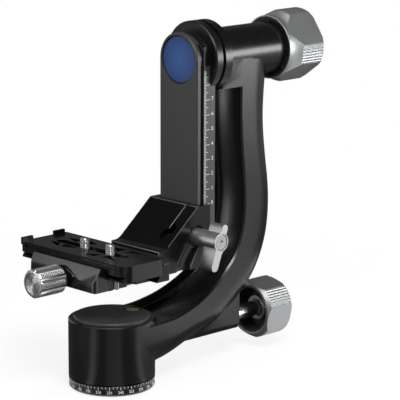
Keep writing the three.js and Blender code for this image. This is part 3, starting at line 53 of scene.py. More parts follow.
bodies = {node: body for body, names in record["behaviour"]["bodies"].items() for node in names}


def linked(name, data):
    """A new object in the scene that shows the given data."""
    obj = bpy.data.objects.new(name, data)
    bpy.context.collection.objects.link(obj)
    return obj


def mesh_of(name, points, faces, finish):
    """A mesh with one material, from points in metres."""
    mesh = bpy.data.meshes.new(name)
    mesh.from_pydata(points, [], faces)
    mesh.materials.append(finish)
    return mesh


# Camera, in degrees, millimetres and pixels of the photo
CAMERA_TURN = -43.36
CAMERA_RISE = 12.43
CAMERA_DISTANCE = 1379.4
PHOTO_SIZE = 400
FOCAL_PIXELS = 2090
ORIGIN_PIXEL = (112.0, 384.2)
SENSOR_WIDTH = 36
LENS_SHIFT = 0.07
CLIP_NEAR = 0.05
CLIP_FAR = 30


def place_camera():
    """The camera looks from the left and a little from above, and sees the origin at its pixel."""
    turn, rise = math.radians(CAMERA_TURN), math.radians(CAMERA_RISE)
    right = np.array([math.cos(turn), math.sin(turn), 0])
    back = np.array([math.sin(turn) * math.cos(rise), -math.cos(turn) * math.cos(rise), math.sin(rise)])
    up = np.cross(back, right)
    scale = CAMERA_DISTANCE / FOCAL_PIXELS
    aside = (ORIGIN_PIXEL[0] - PHOTO_SIZE / 2 + LENS_SHIFT * PHOTO_SIZE) * scale
    below = (PHOTO_SIZE / 2 - ORIGIN_PIXEL[1]) * scale
    place = (-aside * right - below * up + CAMERA_DISTANCE * back) * MM
    data = bpy.data.cameras.new("camera")
    data.sensor_width = SENSOR_WIDTH
    data.lens = FOCAL_PIXELS * SENSOR_WIDTH / PHOTO_SIZE
    data.shift_x = LENS_SHIFT
    data.clip_start = CLIP_NEAR
    data.clip_end = CLIP_FAR
    camera = linked("camera", data)
    matrix = np.eye(4)
    matrix[:3, 0], matrix[:3, 1], matrix[:3, 2], matrix[:3, 3] = right, up, back, place
    camera.matrix_world = matrix.T.tolist()
    bpy.context.scene.camera = camera


# Sizes that a finish needs too
TILT_HEIGHT = 210
RAIL_HALF_WIDTH = 17.8
RAIL_GROOVE_X = (63.2, 67.2)
RAIL_GROOVE_Y = (12.6, 17.45)
HUB_BOTTOM = 170
HUB_CLEAR = 206.5
BADGE_RADIUS = 15.8
BADGE_FIELD_RADIUS = 15.15
CLAMP_AXIS = (17, 74.4)
CLAMP_KNOB_FRONT = 31.0
CLAMP_KNOB_LENGTH = 21.6
CLAMP_KNOB_RADIUS = 9.5
CLAMP_ROOT_RADIUS = 8.6
CLAMP_DISH_RADIUS = 7.3
CLAMP_DISH_DEPTH = 1.2
CLAMP_BORE = 3.3
CLAMP_BORE_DEPTH = 16.9
CLAMP_FLUTES = 8
CLAMP_FLUTE_RADIUS = 2.6
CLAMP_FLUTE_BITE = 0.9
CLAMP_KNURL_DEPTH = 0.5
CLAMP_KNURLS = 30
CLAMP_PANEL_EDGE = 0.2
CLAMP_PANEL_MARGIN = 1.5
CLAMP_GROOVE_SHADE_LEVEL = 0.33


# Shader expressions
class Field:
    """One shader socket. Arithmetic on it adds the Math nodes that the expression needs."""

    def __init__(self, tree, socket):
        self.tree, self.socket = tree, socket

    def math(self, operation, *inputs):
        return self.tree.math(operation, *inputs)

    def __add__(self, other):
        return self.math("ADD", self, other)

    def __radd__(self, other):
        return self.math("ADD", other, self)

    def __sub__(self, other):
        return self.math("SUBTRACT", self, other)

    def __rsub__(self, other):
        return self.math("SUBTRACT", other, self)

    def __mul__(self, other):
        return self.math("MULTIPLY", self, other)

    def __rmul__(self, other):
        return self.math("MULTIPLY", other, self)

    def __truediv__(self, other):
        return self.math("DIVIDE", self, other)

    def __gt__(self, other):
        return self.math("GREATER_THAN", self, other)

    def __lt__(self, other):
        return self.math("LESS_THAN", self, other)

    def __pow__(self, other):
        return self.math("POWER", self, other)


class Tree:
    """A node tree, with one method that adds any node."""

    def __init__(self, tree):
        self.nodes, self.links = tree.nodes, tree.links

    def add(self, kind, settings=(), inputs=(), output=0):
        node = self.nodes.new(kind)
        for key, value in dict(settings).items():
            setattr(node, key, value)
        for key, value in dict(inputs).items():
            self.feed(node.inputs[key], value)
        return Field(self, node.outputs[output])

    def feed(self, socket, value):
        if isinstance(value, Field):
            self.links.new(value.socket, socket)
        else:
            socket.default_value = value

    def math(self, operation, *inputs):
        return self.add("ShaderNodeMath", {"operation": operation}, dict(enumerate(inputs)))


class Finish(Tree):
    """A material, and what its finishes are made of."""

    def __init__(self, name):
        self.material = bpy.data.materials.new(name)
        self.material.use_nodes = True
        super().__init__(self.material.node_tree)
        self.nodes.clear()
        self.shader = self.nodes.new("ShaderNodeBsdfPrincipled")
        self.output = self.nodes.new("ShaderNodeOutputMaterial")
        self.links.new(self.shader.outputs[0], self.output.inputs[0])

    def place(self):
        return self.add("ShaderNodeTexCoord", output="Object")

    def axis(self, letter):
        return self.add("ShaderNodeSeparateXYZ", {}, {0: self.place()}, output=letter)

    def noise(self, scale, detail, stretch=(1, 1, 1)):
        spot = self.add("ShaderNodeMapping", {}, {"Vector": self.place(), "Scale": stretch})
        return self.add("ShaderNodeTexNoise", {}, {"Vector": spot, "Scale": scale, "Detail": detail})

    def blend(self, share, first, second):
        return self.add("ShaderNodeMix", {"data_type": "RGBA"}, {0: share, 6: first, 7: second}, output=2)

    def shades(self, share, dark, light):
        return self.blend(share, (*dark, 1), (*light, 1))

    def bump(self, height, strength, distance):
        return self.add("ShaderNodeBump", {}, {"Height": height, "Strength": strength, "Distance": distance})

    def set(self, **values):
        for key, value in values.items():
            self.feed(self.shader.inputs[key.replace("_", " ")], value)
        return self.material


# Depths of the fine relief in metres
GRAIN_DEPTH = 0.00004
RING_DEPTH = 0.00003
FACED_DEPTH = 0.00008
PEEL_DEPTH = 0.00006
BLACK_TONES = ((0.0014, 0.0014, 0.0016), (0.0036, 0.0036, 0.004))


def blasted(f, dark, light):
    """The grain, slow changes and long streaks of wear of a bead-blasted face, and a tone from all three."""
    fine = f.noise(5200, 2)
    slow = f.noise(38, 3)
    streaks_and_painted_edges = f.noise(420, 2, (1, 1, 0.15))
    return fine, slow, streaks_and_painted_edges, f.shades(slow * 0.6 + fine * 0.25 + streaks_and_painted_edges * 0.15, dark, light)


def anodised(name, dark, light, rough, grain=0.35, metal=0.0, gloss=0.5):
    """Bead-blasted and anodised aluminium."""
    f = Finish(name)
    fine, slow, streaks_and_painted_edges, tone = blasted(f, dark, light)
    return f.set(Base_Color=tone, Metallic=metal,
                 Roughness=rough - 0.08 + slow * 0.07 + fine * 0.07 + streaks_and_painted_edges * 0.02,
                 Specular_IOR_Level=gloss, Normal=f.bump(fine, grain, GRAIN_DEPTH))


def make_rail_finish():
    """The rail is a lighter grey than the castings, and black in its side grooves and on its hub."""
    f = Finish("rail_anodised")
    fine, slow, streaks_and_painted_edges, grey = blasted(f, (0.018, 0.018, 0.019), (0.03, 0.03, 0.032))
    x, z = f.axis("X"), f.axis("Z")
    aside = f.math("ABSOLUTE", f.axis("Y"))
    front, back = RAIL_GROOVE_X
    low, high = RAIL_GROOVE_Y
    groove = (x > front * MM) * (x < back * MM) * (aside > low * MM) * (aside < high * MM)
    beyond_rail = f.math("MAXIMUM", aside > RAIL_HALF_WIDTH * MM, z > HUB_CLEAR * MM)
    hub = (x > back * MM) * (z > HUB_BOTTOM * MM) * beyond_rail
    black = f.math("MAXIMUM", groove, hub)
    return f.set(Base_Color=f.blend(black, grey, (0.002, 0.002, 0.002, 1)),
                 Roughness=0.36 + slow * 0.07 + fine * 0.06 + streaks_and_painted_edges * 0.04 - black * 0.12,
                 Metallic=(1 - black) * 0.1, Normal=f.bump(fine, 0.35, GRAIN_DEPTH))


def turned_metal(name, dark, light, axis, rough, lines=0.35):
    """Machined metal: fine rings about the turning axis and a few deeper tool marks."""
    f = Finish(name)
    along = {"X": (1, 0.02, 0.02), "Z": (0.02, 0.02, 1), "Y": (0.02, 1, 0.02)}[axis]
    rings = f.noise(6000, 2, along)
    slow = f.noise(60, 3)
    return f.set(Base_Color=f.shades(rings * 0.5 + slow * 0.5, dark, light), Metallic=1.0,
                 Roughness=rough - 0.05 + rings * 0.12 + slow * 0.06, Normal=f.bump(rings, lines, RING_DEPTH))


def faced_metal(name, dark, light, centre):
    """Metal faced on a lathe: fine grooves in rings about an axis along X."""
    f = Finish(name)
    y, z = f.axis("Y") - centre[0] * MM, f.axis("Z") - centre[1] * MM
    reach = (y * y + z * z) ** 0.5
    grooves = f.add("ShaderNodeTexNoise", {"noise_dimensions": "1D"},
                    {"W": reach * 9000, "Scale": 1, "Detail": 1})
    slow = f.noise(90, 2)
    return f.set(Base_Color=f.shades(grooves * 0.6 + slow * 0.4, dark, light), Metallic=1.0,
                 Roughness=0.25 + grooves * 0.1, Normal=f.bump(grooves, 0.8, FACED_DEPTH))


def make_knurl_finish():
    """The clamp knob's silver, with painted shade in the crossed grooves that run round it between its
    flutes.

    The grooves are where the product of two sines is small, one of which climbs along the knob to
    the left and the other to the right."""
    f = Finish("knurled_silver")
    y, z = f.axis("Y") - CLAMP_AXIS[0] * MM, f.axis("Z") - CLAMP_AXIS[1] * MM
    angle = f.math("ARCTAN2", z, 0 - y)
    along = f.axis("X") * (-CLAMP_KNURLS / (CLAMP_KNOB_RADIUS * MM))
    turns = angle * CLAMP_KNURLS
    leftward, rightward = f.math("SINE", (turns + along) * 0.5), f.math("SINE", (turns - along) * 0.5)
    crossed = f.math("ABSOLUTE", leftward * rightward)
    spacing = TAU / CLAMP_FLUTES
    from_flute = f.math("ABSOLUTE", f.math("FLOORED_MODULO", angle + TAU, spacing) - spacing / 2)
    depth = f.axis("X") * -1
    margin = CLAMP_PANEL_MARGIN + 0.1
    panel = (from_flute > CLAMP_PANEL_EDGE + 0.01) * (depth > (CLAMP_KNOB_FRONT + margin) * MM)
    panel = panel * (depth < (CLAMP_KNOB_FRONT + CLAMP_KNOB_LENGTH - margin) * MM)
    # Painted shade: the knurl's grooves are coloured near black
    groove = panel * (crossed < CLAMP_GROOVE_SHADE_LEVEL)
    slow = f.noise(60, 3)
    metal = f.shades(slow, (0.5, 0.505, 0.51), (0.66, 0.665, 0.67))
    return f.set(Base_Color=f.blend(groove * 0.95, metal, (0.01, 0.01, 0.01, 1)), Metallic=1.0,
                 Roughness=0.3 + slow * 0.06 + groove * 0.2)


def moulded(name, dark, light, rough=0.5):
    """Moulded plastic: a low orange-peel and faint cloudy tone."""
    f = Finish(name)
    peel = f.noise(1500, 2)
    slow = f.noise(50, 3)
    return f.set(Base_Color=f.shades(slow, dark, light), Roughness=rough - 0.06 + slow * 0.12,
                 Normal=f.bump(peel, 0.2, PEEL_DEPTH))


def printed(name, colour):
    """Laser-engraved marks: a pale grey that varies a little from stroke to stroke."""
    f = Finish(name)
    speckle = f.noise(2600, 2)
    dark = tuple(0.72 * part for part in colour)
    return f.set(Base_Color=f.shades(speckle, dark, colour), Roughness=0.55 + speckle * 0.15)


black_casting = anodised("black_casting", *BLACK_TONES, 0.28, 0.15)
black_machined = anodised("black_machined", *BLACK_TONES, 0.21, 0.08)
black_bracket = anodised("black_bracket", (0.0012, 0.0012, 0.0014), (0.003, 0.003, 0.0034), 0.22, 0.08,
                         gloss=0.33)
# A lighter grey for the bevels of long edges: a painted edge highlight
painted_edge_highlight = anodised("painted_edge_highlight", (0.035, 0.035, 0.037), (0.075, 0.075, 0.078), 0.3, 0.1)
dark_anodised = anodised("dark_anodised", (0.02, 0.02, 0.021), (0.034, 0.034, 0.036), 0.4, metal=0.1)
rail_anodised = make_rail_finish()
cap_satin = anodised("cap_satin", (0.03, 0.03, 0.032), (0.046, 0.046, 0.048), 0.46, metal=0.2)
silver_anodised = turned_metal("silver_anodised", (0.33, 0.335, 0.34), (0.46, 0.465, 0.47), "X", 0.42, 0.1)
lever_silver = turned_metal("lever_silver", (0.4, 0.405, 0.41), (0.52, 0.525, 0.53), "Y", 0.36, 0.1)
bright_steel = turned_metal("bright_steel", (0.42, 0.42, 0.43), (0.6, 0.6, 0.61), "X", 0.2)
steel_upright = turned_metal("steel_upright", (0.46, 0.46, 0.47), (0.66, 0.66, 0.67), "Z", 0.2)
clamp_disc = faced_metal("clamp_disc", (0.36, 0.36, 0.365), (0.55, 0.55, 0.555), CLAMP_AXIS)
# Steel for the near stop screw, darker than the far screw's: painted shade
steel_in_painted_shade = turned_metal("steel_in_painted_shade", (0.05, 0.05, 0.052), (0.1, 0.1, 0.102), "Z", 0.3)
black_plastic = moulded("black_plastic", (0.006, 0.006, 0.007), (0.013, 0.013, 0.014))
bronze = turned_metal("bronze", (0.45, 0.3, 0.12), (0.6, 0.42, 0.18), "X", 0.3)
knurled_silver = make_knurl_finish()
level_fluid = moulded("level_fluid", (0.16, 0.17, 0.03), (0.28, 0.3, 0.06), 0.12)
scale_ink = printed("scale_ink", (0.62, 0.62, 0.62))
dot_ink = printed("dot_ink", (0.75, 0.75, 0.74))


def make_badge_finish():
    """Blue lacquer that is lighter towards the middle, with a fine black border on its rim."""
    f = Finish("badge_blue")
    flake = f.noise(4200, 2)
    y, z = f.axis("Y"), f.axis("Z") - TILT_HEIGHT * MM
    reach = (y * y + z * z) ** 0.5
    inner = f.shades(reach / (BADGE_RADIUS * MM), (0.013, 0.06, 0.205), (0.004, 0.022, 0.105))
    speckled = f.blend(flake * 0.2, inner, (0.02, 0.08, 0.24, 1))
    colour = f.blend(reach > BADGE_FIELD_RADIUS * MM, speckled, (0.004, 0.004, 0.005, 1))
    return f.set(Base_Color=colour, Roughness=0.3 + flake * 0.08)


badge_blue = make_badge_finish()

SLOT_FINISH = {
    "black_anodised": black_casting, "dark_anodised": dark_anodised, "silver_anodised": silver_anodised,
    "bright_steel": bright_steel, "spring_steel": bright_steel, "bronze": bronze,
    "black_plastic": black_plastic, "badge_blue": badge_blue, "level_fluid": level_fluid,
}


# Mesh building. Points closer than the first are one, edges shorter than the second go, in metres
JOIN_WITHIN = 2e-6
SHORTEST_EDGE = 1e-7


def new_object(name, points, faces, finish, crease):
    """An object at the origin from points in millimetres, closed up, with its faces turned outwards."""
    mesh = mesh_of(name, (np.asarray(points, float).reshape(-1, 3) * MM).tolist(), faces, finish)
    shape = bmesh.new()
    shape.from_mesh(mesh)
    bmesh.ops.remove_doubles(shape, verts=shape.verts, dist=JOIN_WITHIN)
    bmesh.ops.dissolve_degenerate(shape, edges=shape.edges, dist=SHORTEST_EDGE)
    bmesh.ops.recalc_face_normals(shape, faces=shape.faces)
    shape.to_mesh(mesh)
    shape.free()
    soften_shading(mesh, crease)
    return linked(name, mesh)


def soften_shading(mesh, crease):
    mesh.shade_smooth()
    mesh.set_sharp_from_angle(angle=math.radians(crease))


def grid_faces(rows, columns):
    """Quads over a grid of points whose rows close on themselves."""
    i, j = np.meshgrid(np.arange(rows - 1), np.arange(columns), indexing="ij")
    beside = (j + 1) % columns
    quads = [i * columns + j, i * columns + beside, (i + 1) * columns + beside, (i + 1) * columns + j]
    return np.stack(quads, -1).reshape(-1, 4).tolist()


def skin(name, rings, finish, crease=35):
    """Rings of points, skinned into one closed body with flat ends."""
    rings = np.asarray(rings, float)
    rows, columns = rings.shape[:2]
    ends = [list(range(columns)), list(range((rows - 1) * columns, rows * columns))]
    return new_object(name, rings, grid_faces(rows, columns) + ends, finish, crease)


CORNER_STEPS = 3
CORNER_SHARE = 0.45


def softened(profile, radius):
    """The open profile with each corner between its ends rounded.

    A parabola runs from one side of the corner to the other, with the corner as its third point, and
    takes up no more than a share of either side."""
    profile = np.asarray(profile, float)
    points = [profile[0]]
    for before, corner, after in zip(profile, profile[1:], profile[2:]):
        back, forth = before - corner, after - corner
        start = corner + back * min(radius / np.hypot(*back), CORNER_SHARE)
        end = corner + forth * min(radius / np.hypot(*forth), CORNER_SHARE)
        for share in np.linspace(0, 1, CORNER_STEPS + 1):
            points.append((1 - share) ** 2 * start + 2 * share * (1 - share) * corner + share ** 2 * end)
    points.append(profile[-1])
    return np.array(points)


def swept(profile, axis, at, count, reach):
    """Points of a profile of [radius, along] turned about the X or Z axis through at.

    A point lies the cosine and the sine of its angle times its radius from the axis. reach(angle,
    along, radius) may draw the radius in, as for a grip's flats or flutes."""
    angle = np.arange(count) * TAU / count
    radius, along = [np.repeat(np.asarray(part, float)[:, None], count, 1) for part in np.asarray(profile).T]
    turn = np.repeat(angle[None, :], len(profile), 0)
    if reach:
        radius = reach(turn, along, radius)
    u, v = radius * np.cos(turn), radius * np.sin(turn)
    if axis == "X":
        return np.stack([along, at[0] - u, at[1] + v], -1)
    return np.stack([at[0] + u, at[1] + v, along], -1)


def turned(name, profile, finish, axis, at, count, reach=None, crease=35):
    return skin(name, swept(profile, axis, at, count, reach), finish, crease)


def worked_out(obj):
    """A mesh of what an object shows, with its modifiers worked in."""
    graph = bpy.context.evaluated_depsgraph_get()
    return bpy.data.meshes.new_from_object(obj.evaluated_get(graph))


def taken_apart(mesh):
    """The points of a mesh, one after the other, and the faces as lists of them."""
    points = np.empty(len(mesh.vertices) * 3)
    mesh.vertices.foreach_get("co", points)
    return points.reshape(-1, 3), [list(face.vertices) for face in mesh.polygons]


def finished(piece):
    mesh = worked_out(piece)
    piece.modifiers.clear()
    piece.data = mesh
    return piece


def combine(piece, tools, operation):
    """Adds the tools to the piece, or cuts them from it, and removes them."""
    for tool in tools:
        step = piece.modifiers.new("step", "BOOLEAN")
        step.operation = operation
        step.solver = "MANIFOLD"
        step.object = tool
    finished(piece)
    for tool in tools:
        bpy.data.objects.remove(tool)
    return piece


def stand_for(piece, *names):
    """The piece takes the place of CAD nodes, which it hides, and rides on their body."""
    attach(piece, bodies[names[0]])
    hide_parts(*names)
    return piece


# Machined pieces whose long outer edges take a lighter colour than their faces, up to this X: a painted
# highlight along those edges
PAINTED_HIGHLIGHT_EDGES = {"platform_bracket": 57, "clamp_jaw": 50}
LONG_EDGE = 5
EDGE_ANGLE = 30
FLAT_ANGLE = 1.2


def stands_free(line, reach):
    """True of a long, sharp outer edge that ends before the given X."""
    if len(line.link_faces) != 2 or not line.is_convex:
        return False
    sharp = line.calc_face_angle() > math.radians(EDGE_ANGLE)
    return sharp and line.calc_length() > LONG_EDGE * MM and max(end.co.x for end in line.verts) < reach * MM


def refine(name, width, finish):
    """A copy of a CAD node with joined corners, whole flat faces and rounded edges takes its place."""
    streaks_and_painted_edges = name in PAINTED_HIGHLIGHT_EDGES
    points, faces = taken_apart(nodes[name].data)
    piece = new_object(name + "_finished", points / MM, faces, finish, EDGE_ANGLE)
    shape = bmesh.new()
    shape.from_mesh(piece.data)
    flat = math.radians(FLAT_ANGLE)
    bmesh.ops.dissolve_limit(shape, angle_limit=flat, verts=shape.verts, edges=shape.edges)
    if streaks_and_painted_edges:
        weight = shape.edges.layers.float.new("bevel_weight_edge")
        for line in shape.edges:
            line[weight] = float(stands_free(line, PAINTED_HIGHLIGHT_EDGES[name]))
    shape.to_mesh(piece.data)
    shape.free()
    soften_shading(piece.data, EDGE_ANGLE)
    edge = piece.modifiers.new("edge", "BEVEL")
    edge.width = width * MM
    edge.segments = 2
    edge.limit_method = "WEIGHT" if streaks_and_painted_edges else "ANGLE"
    edge.angle_limit = math.radians(EDGE_ANGLE)
    edge.harden_normals = True
    # The bevels take the lighter material: a painted highlight along the edges
    if streaks_and_painted_edges:
        piece.data.materials.append(painted_edge_highlight)
        edge.material = 1
        edge.use_clamp_overlap = False
    return stand_for(piece, name)


# Arm casting
BASE_RADIUS = 28.5
BARREL_BOTTOM = 7.6
BARREL_TOP = 46.3
CAP_RECESS = 25.5
CAP_SEAT = 44.5
BARREL_CHAMFER = 0.6
BEARING_BORE = 16.2
THROAT_REACH = 106
ARM_DEPTH = 33
ARM_HALF_WIDTH = 17.6
ARM_TAPER_END = 100
ARM_CHAMFER = 1.1
ARM_FLAT_SHARE = 0.36
ARM_INNER_SHARES = [
    (0.03, -0.0141), (0.292, -0.0165), (0.453, -0.0019), (0.59, 0.0244), (0.731, 0.0684), (0.84, 0.1204),
    (0.92, 0.1783), (0.972, 0.2578), (0.997, 0.3524), (0.998, 0.438), (0.985, 0.5357), (0.967, 0.664),
    (0.9585, 0.7801), (0.962, 0.9022), (0.972, 0.9872),
]
ARM_DEPTH_SHARES = [1.09, 0.98, 0.846, 0.915, 1.006, 1.055, 1.018, 0.967, 0.952, 0.99, 1.036]
POCKET_RIM = 2.8
POCKET_DEPTH = 6.5
POCKET_BOW = 2.2
POCKET_START_SHARE = 0.12
POCKET_END_SHARE = 0.943
POCKET_RUNOUT_SHARE = 0.06
OVERRUN = 3
TUBE_RADIUS = 17.7
TUBE_END = 143.4
FLANGE_RADIUS = 24.5
FLANGE_FRONT = 80.4
FLANGE_BACK = 86.7
TILT_BORE = 14.1
TUBE_SHOULDER = 2.6
FRONT_SEAT_END = 89.3
REAR_SEAT_START = 130.7
LOCK_HEIGHT = 27
STUD_BORE = 5.7
BOSS_HALF_WIDTH = 11.8
BOSS_SPAN_X = (50, 107)
BOSS_SPAN_Z = (19.4, 50)
BOSS_CORNER = 5
WEB_FRONT = 84
WEB_BACK = 112
WEB_BOTTOM = 189.5
WEB_RINGS = 5
ARM_RINGS = 180
ARM_BACK_POINTS = 49
ARM_SIDE_POINTS = 6
CURVE_STEPS = 4001
CURVE_NEARBY = 1e-4
POCKET_RINGS = 70
POCKET_POINTS = 17
BOSS_RINGS = 12
BOSS_CORNER_POINTS = 9
THROAT_POINTS = 60
BARREL_RINGS = 14
TUBE_RINGS = 24
BARREL_ROUND = 240
TUBE_ROUND = 200
BARREL_BORE_ROUND = 200
TILT_BORE_ROUND = 160
STUD_BORE_ROUND = 96
CASTING_CREASE = 40
CAST_CELL = 0.85
FILLET_ROUNDS = 14
FILLET_PULL = 0.6
FILLET_SHRINK = 0.2


def flowing(points, share):
    """Points of a smooth curve through the given points, at shares of the count of its stretches.

    Each stretch is the cubic that leaves and enters its two points along the line between their
    neighbours."""
    points = np.asarray(points, float)
    place = np.asarray(share, float) * (len(points) - 1)
    first = np.minimum(place.astype(int), len(points) - 2)
    t = (place - first)[:, None]
    before, start = points[np.maximum(first - 1, 0)], points[first]
    end, after = points[first + 1], points[np.minimum(first + 2, len(points) - 1)]
    enter, leave = (end - before) / 2, (after - start) / 2
    return ((2 * start - 2 * end + enter + leave) * t ** 3
            + (-3 * start + 3 * end - 2 * enter - leave) * t ** 2 + enter * t + start)


def arm_stations(shares):
    """Place, outward direction, depth and half width of the arm at shares of its inner curve's length.

    Outward is square to the curve. The depth flows through its shares. The half width is the arm's
    own, or more where the side still lies on the line that touches the barrel's circle."""
    rise = TILT_HEIGHT - BARREL_TOP
    route = [(along * THROAT_REACH, BARREL_TOP + up * rise) for along, up in ARM_INNER_SHARES]
    fine = np.linspace(0, 1, CURVE_STEPS)
    curve = flowing(route, fine)
    length = np.concatenate([[0], np.cumsum(np.hypot(*np.diff(curve, axis=0).T))])
    at = np.interp(np.asarray(shares) * length[-1], length, fine)
    place = flowing(route, at)
    step = flowing(route, np.clip(at + CURVE_NEARBY, 0, 1)) - flowing(route, np.clip(at - CURVE_NEARBY, 0, 1))
    step /= np.hypot(*step.T)[:, None]
    outward = np.stack([step[:, 1], -step[:, 0]], -1)
    levels = np.stack([np.arange(len(ARM_DEPTH_SHARES)), ARM_DEPTH_SHARES], -1)
    depth = ARM_DEPTH * flowing(levels, shares)[:, 1]
    taper = math.asin(BASE_RADIUS / math.hypot(ARM_TAPER_END, ARM_HALF_WIDTH))
    taper -= math.atan2(ARM_HALF_WIDTH, ARM_TAPER_END)
    middle = place[:, 0] + outward[:, 0] * depth / 2
    flank = BASE_RADIUS / math.cos(taper) - middle * math.tan(taper)
    return place, outward, depth, np.maximum(ARM_HALF_WIDTH, flank)


def laid_off(place, outward, section):
    """A section of (across, deep) points at one station of the arm, as points in space."""
    across, deep = np.asarray(section, float).T
    return np.stack([place[0] + outward[0] * deep, across, place[1] + outward[1] * deep], -1)


def arm_section(depth, half_width):
    """A D: a flat inner face with small chamfers, flat sides, and half an ellipse for the back."""
    flat = ARM_FLAT_SHARE * depth
    angle = np.linspace(0, math.pi, ARM_BACK_POINTS)
    back = np.stack([-half_width * np.cos(angle), flat + (depth - flat) * np.sin(angle)], -1)
    sides = np.linspace(ARM_CHAMFER, flat, ARM_SIDE_POINTS)[:-1]
    near = [(-half_width + ARM_CHAMFER, 0)] + [(-half_width, deep) for deep in sides]
    far = [(half_width, deep) for deep in sides[::-1]] + [(half_width - ARM_CHAMFER, 0)]
    return np.concatenate([near, back, far])


def make_arm():
    """The arm's D-shaped sections, laid off square to its inner curve and skinned."""
    stations = arm_stations(np.linspace(0, 1, ARM_RINGS))
    rings = [laid_off(place, outward, arm_section(depth, half))
             for place, outward, depth, half in zip(*stations)]
    return skin("arm_casting", rings, black_casting)


def make_pocket():
    """What the arm's long pocket takes away.

    Its floor is a parabola across the arm, and runs in from the pocket's lower end as a quarter of
    a sine wave."""
    share = np.linspace(0, 1, POCKET_RINGS)
    inner = arm_stations(POCKET_START_SHARE + share * (POCKET_END_SHARE - POCKET_START_SHARE))
    across = np.linspace(-1, 1, POCKET_POINTS)
    rings = []
    for part, place, outward, depth, half in zip(share, *inner):
        runs_in = min(part / POCKET_RUNOUT_SHARE, 1)
        floor = POCKET_DEPTH * math.sin(runs_in * math.pi / 2) - POCKET_BOW * (1 - runs_in)
        wall = half - POCKET_RIM
        bowed = np.stack([across * wall, floor + POCKET_BOW * (1 - across ** 2)], -1)
        rings.append(laid_off(place, outward, np.concatenate([[(wall, -OVERRUN), (-wall, -OVERRUN)], bowed])))
    return skin("pocket", rings, black_casting)


def stretched(start, end, count):
    """Points along a straight stretch of a profile, without its ends."""
    return [tuple(point) for point in np.linspace(start, end, count + 2)[1:-1]]


def make_barrel():
    """The pan housing: a cylinder about Z with a small chamfer at its top."""
    shoulder = BARREL_TOP - BARREL_CHAMFER
    foot, top = (BASE_RADIUS, BARREL_BOTTOM), (BASE_RADIUS, shoulder)
    profile = [(0, BARREL_BOTTOM), foot, *stretched(foot, top, BARREL_RINGS), top,
               (BASE_RADIUS - BARREL_CHAMFER, BARREL_TOP), (0, BARREL_TOP)]
    return turned("barrel", profile, black_casting, "Z", (0, 0), BARREL_ROUND)


def make_tube():
    """The tilt housing: a cylinder about X with a wider flange at its front."""
    near, far = (TUBE_RADIUS, FLANGE_BACK), (TUBE_RADIUS, TUBE_END)
    profile = [(0, FLANGE_FRONT), (FLANGE_RADIUS, FLANGE_FRONT), (FLANGE_RADIUS, FLANGE_BACK),
               near, *stretched(near, far, TUBE_RINGS), far, (0, TUBE_END)]
    return turned("tube", profile, black_casting, "X", (0, TILT_HEIGHT), TUBE_ROUND)


def make_bores():
    """The machined bores of the barrel, the tube and the pan lock's stud."""
    low, high = BARREL_BOTTOM - OVERRUN, BARREL_TOP + OVERRUN
    barrel = [(0, low), (BEARING_BORE, low), (BEARING_BORE, CAP_SEAT), (CAP_RECESS, CAP_SEAT),
              (CAP_RECESS, high), (0, high)]
    front, back = FLANGE_FRONT - OVERRUN, TUBE_END + OVERRUN
    narrow = TILT_BORE - TUBE_SHOULDER
    tilt = [(0, front), (TILT_BORE, front), (TILT_BORE, FRONT_SEAT_END), (narrow, FRONT_SEAT_END),
            (narrow, REAR_SEAT_START), (TILT_BORE, REAR_SEAT_START), (TILT_BORE, back), (0, back)]
    end = BOSS_SPAN_X[1] + OVERRUN
    stud = [(0, 0), (STUD_BORE, 0), (STUD_BORE, end), (0, end)]
    return [turned("barrel_bore", barrel, black_casting, "Z", (0, 0), BARREL_BORE_ROUND),
            turned("tilt_bore", tilt, black_casting, "X", (0, TILT_HEIGHT), TILT_BORE_ROUND),
            turned("stud_bore", stud, black_casting, "X", (0, LOCK_HEIGHT), STUD_BORE_ROUND)]


def make_casting():
    """The arm, its pocket, barrel, tube, flange and lock boss are one casting with soft inner corners.

    The forms are joined, and a remeshed and smoothed copy of them adds the fillets in which they
    flow into each other. The machined bores come last."""
    arm = make_arm()
    combine(arm, [make_pocket()], "DIFFERENCE")
    combine(arm, [make_boss(), make_web()], "UNION")
    combine(arm, [make_barrel(), make_tube()], "UNION")
    combine(arm, [make_fillets(arm)], "UNION")
    combine(arm, make_bores(), "DIFFERENCE")
    soften_shading(arm.data, CASTING_CREASE)
    return stand_for(arm, "main_arm")


def make_fillets(casting):
    """A remeshed and smoothed copy of the casting, shrunk a little.

    Smoothing fills inner corners and draws the rest in, so that only the fillets stand out of the
    sharp forms."""
    copy = linked("fillets", casting.data.copy())
    grid = copy.modifiers.new("grid", "REMESH")
    grid.mode = "VOXEL"
    grid.voxel_size = CAST_CELL * MM
    even = copy.modifiers.new("even", "SMOOTH")
    even.factor = FILLET_PULL
    even.iterations = FILLET_ROUNDS
    shrink = copy.modifiers.new("shrink", "DISPLACE")
    shrink.strength = -FILLET_SHRINK * MM
    shrink.mid_level = 0
    return finished(copy)


def make_boss():
    """The pan lock's boss: a square block, cut back to the arm's hidden side.

    Its two lower edges are quarter circles."""
    low, high = BOSS_SPAN_Z
    angle = np.linspace(math.pi, 1.5 * math.pi, BOSS_CORNER_POINTS)
    left = [(-BOSS_HALF_WIDTH + BOSS_CORNER * (1 + math.cos(a)), low + BOSS_CORNER * (1 + math.sin(a)))
            for a in angle]
    outline = left + [(-y, z) for y, z in left[::-1]] + [(BOSS_HALF_WIDTH, high), (-BOSS_HALF_WIDTH, high)]
    rings = [[(x, y, z) for y, z in outline] for x in np.linspace(*BOSS_SPAN_X, BOSS_RINGS)]
    boss = skin("boss", rings, black_casting)
    place, outward, _, _ = arm_stations(np.linspace(0, 1, THROAT_POINTS))
    hidden = place + outward * (POCKET_DEPTH + POCKET_BOW + OVERRUN)
    side = np.concatenate([hidden, [(0, TILT_HEIGHT), (0, BARREL_TOP)]])
    wide = BASE_RADIUS + OVERRUN
    throat = skin("throat", [[(x, y, z) for x, z in side] for y in (-wide, wide)], black_casting)
    return combine(boss, [throat], "DIFFERENCE")


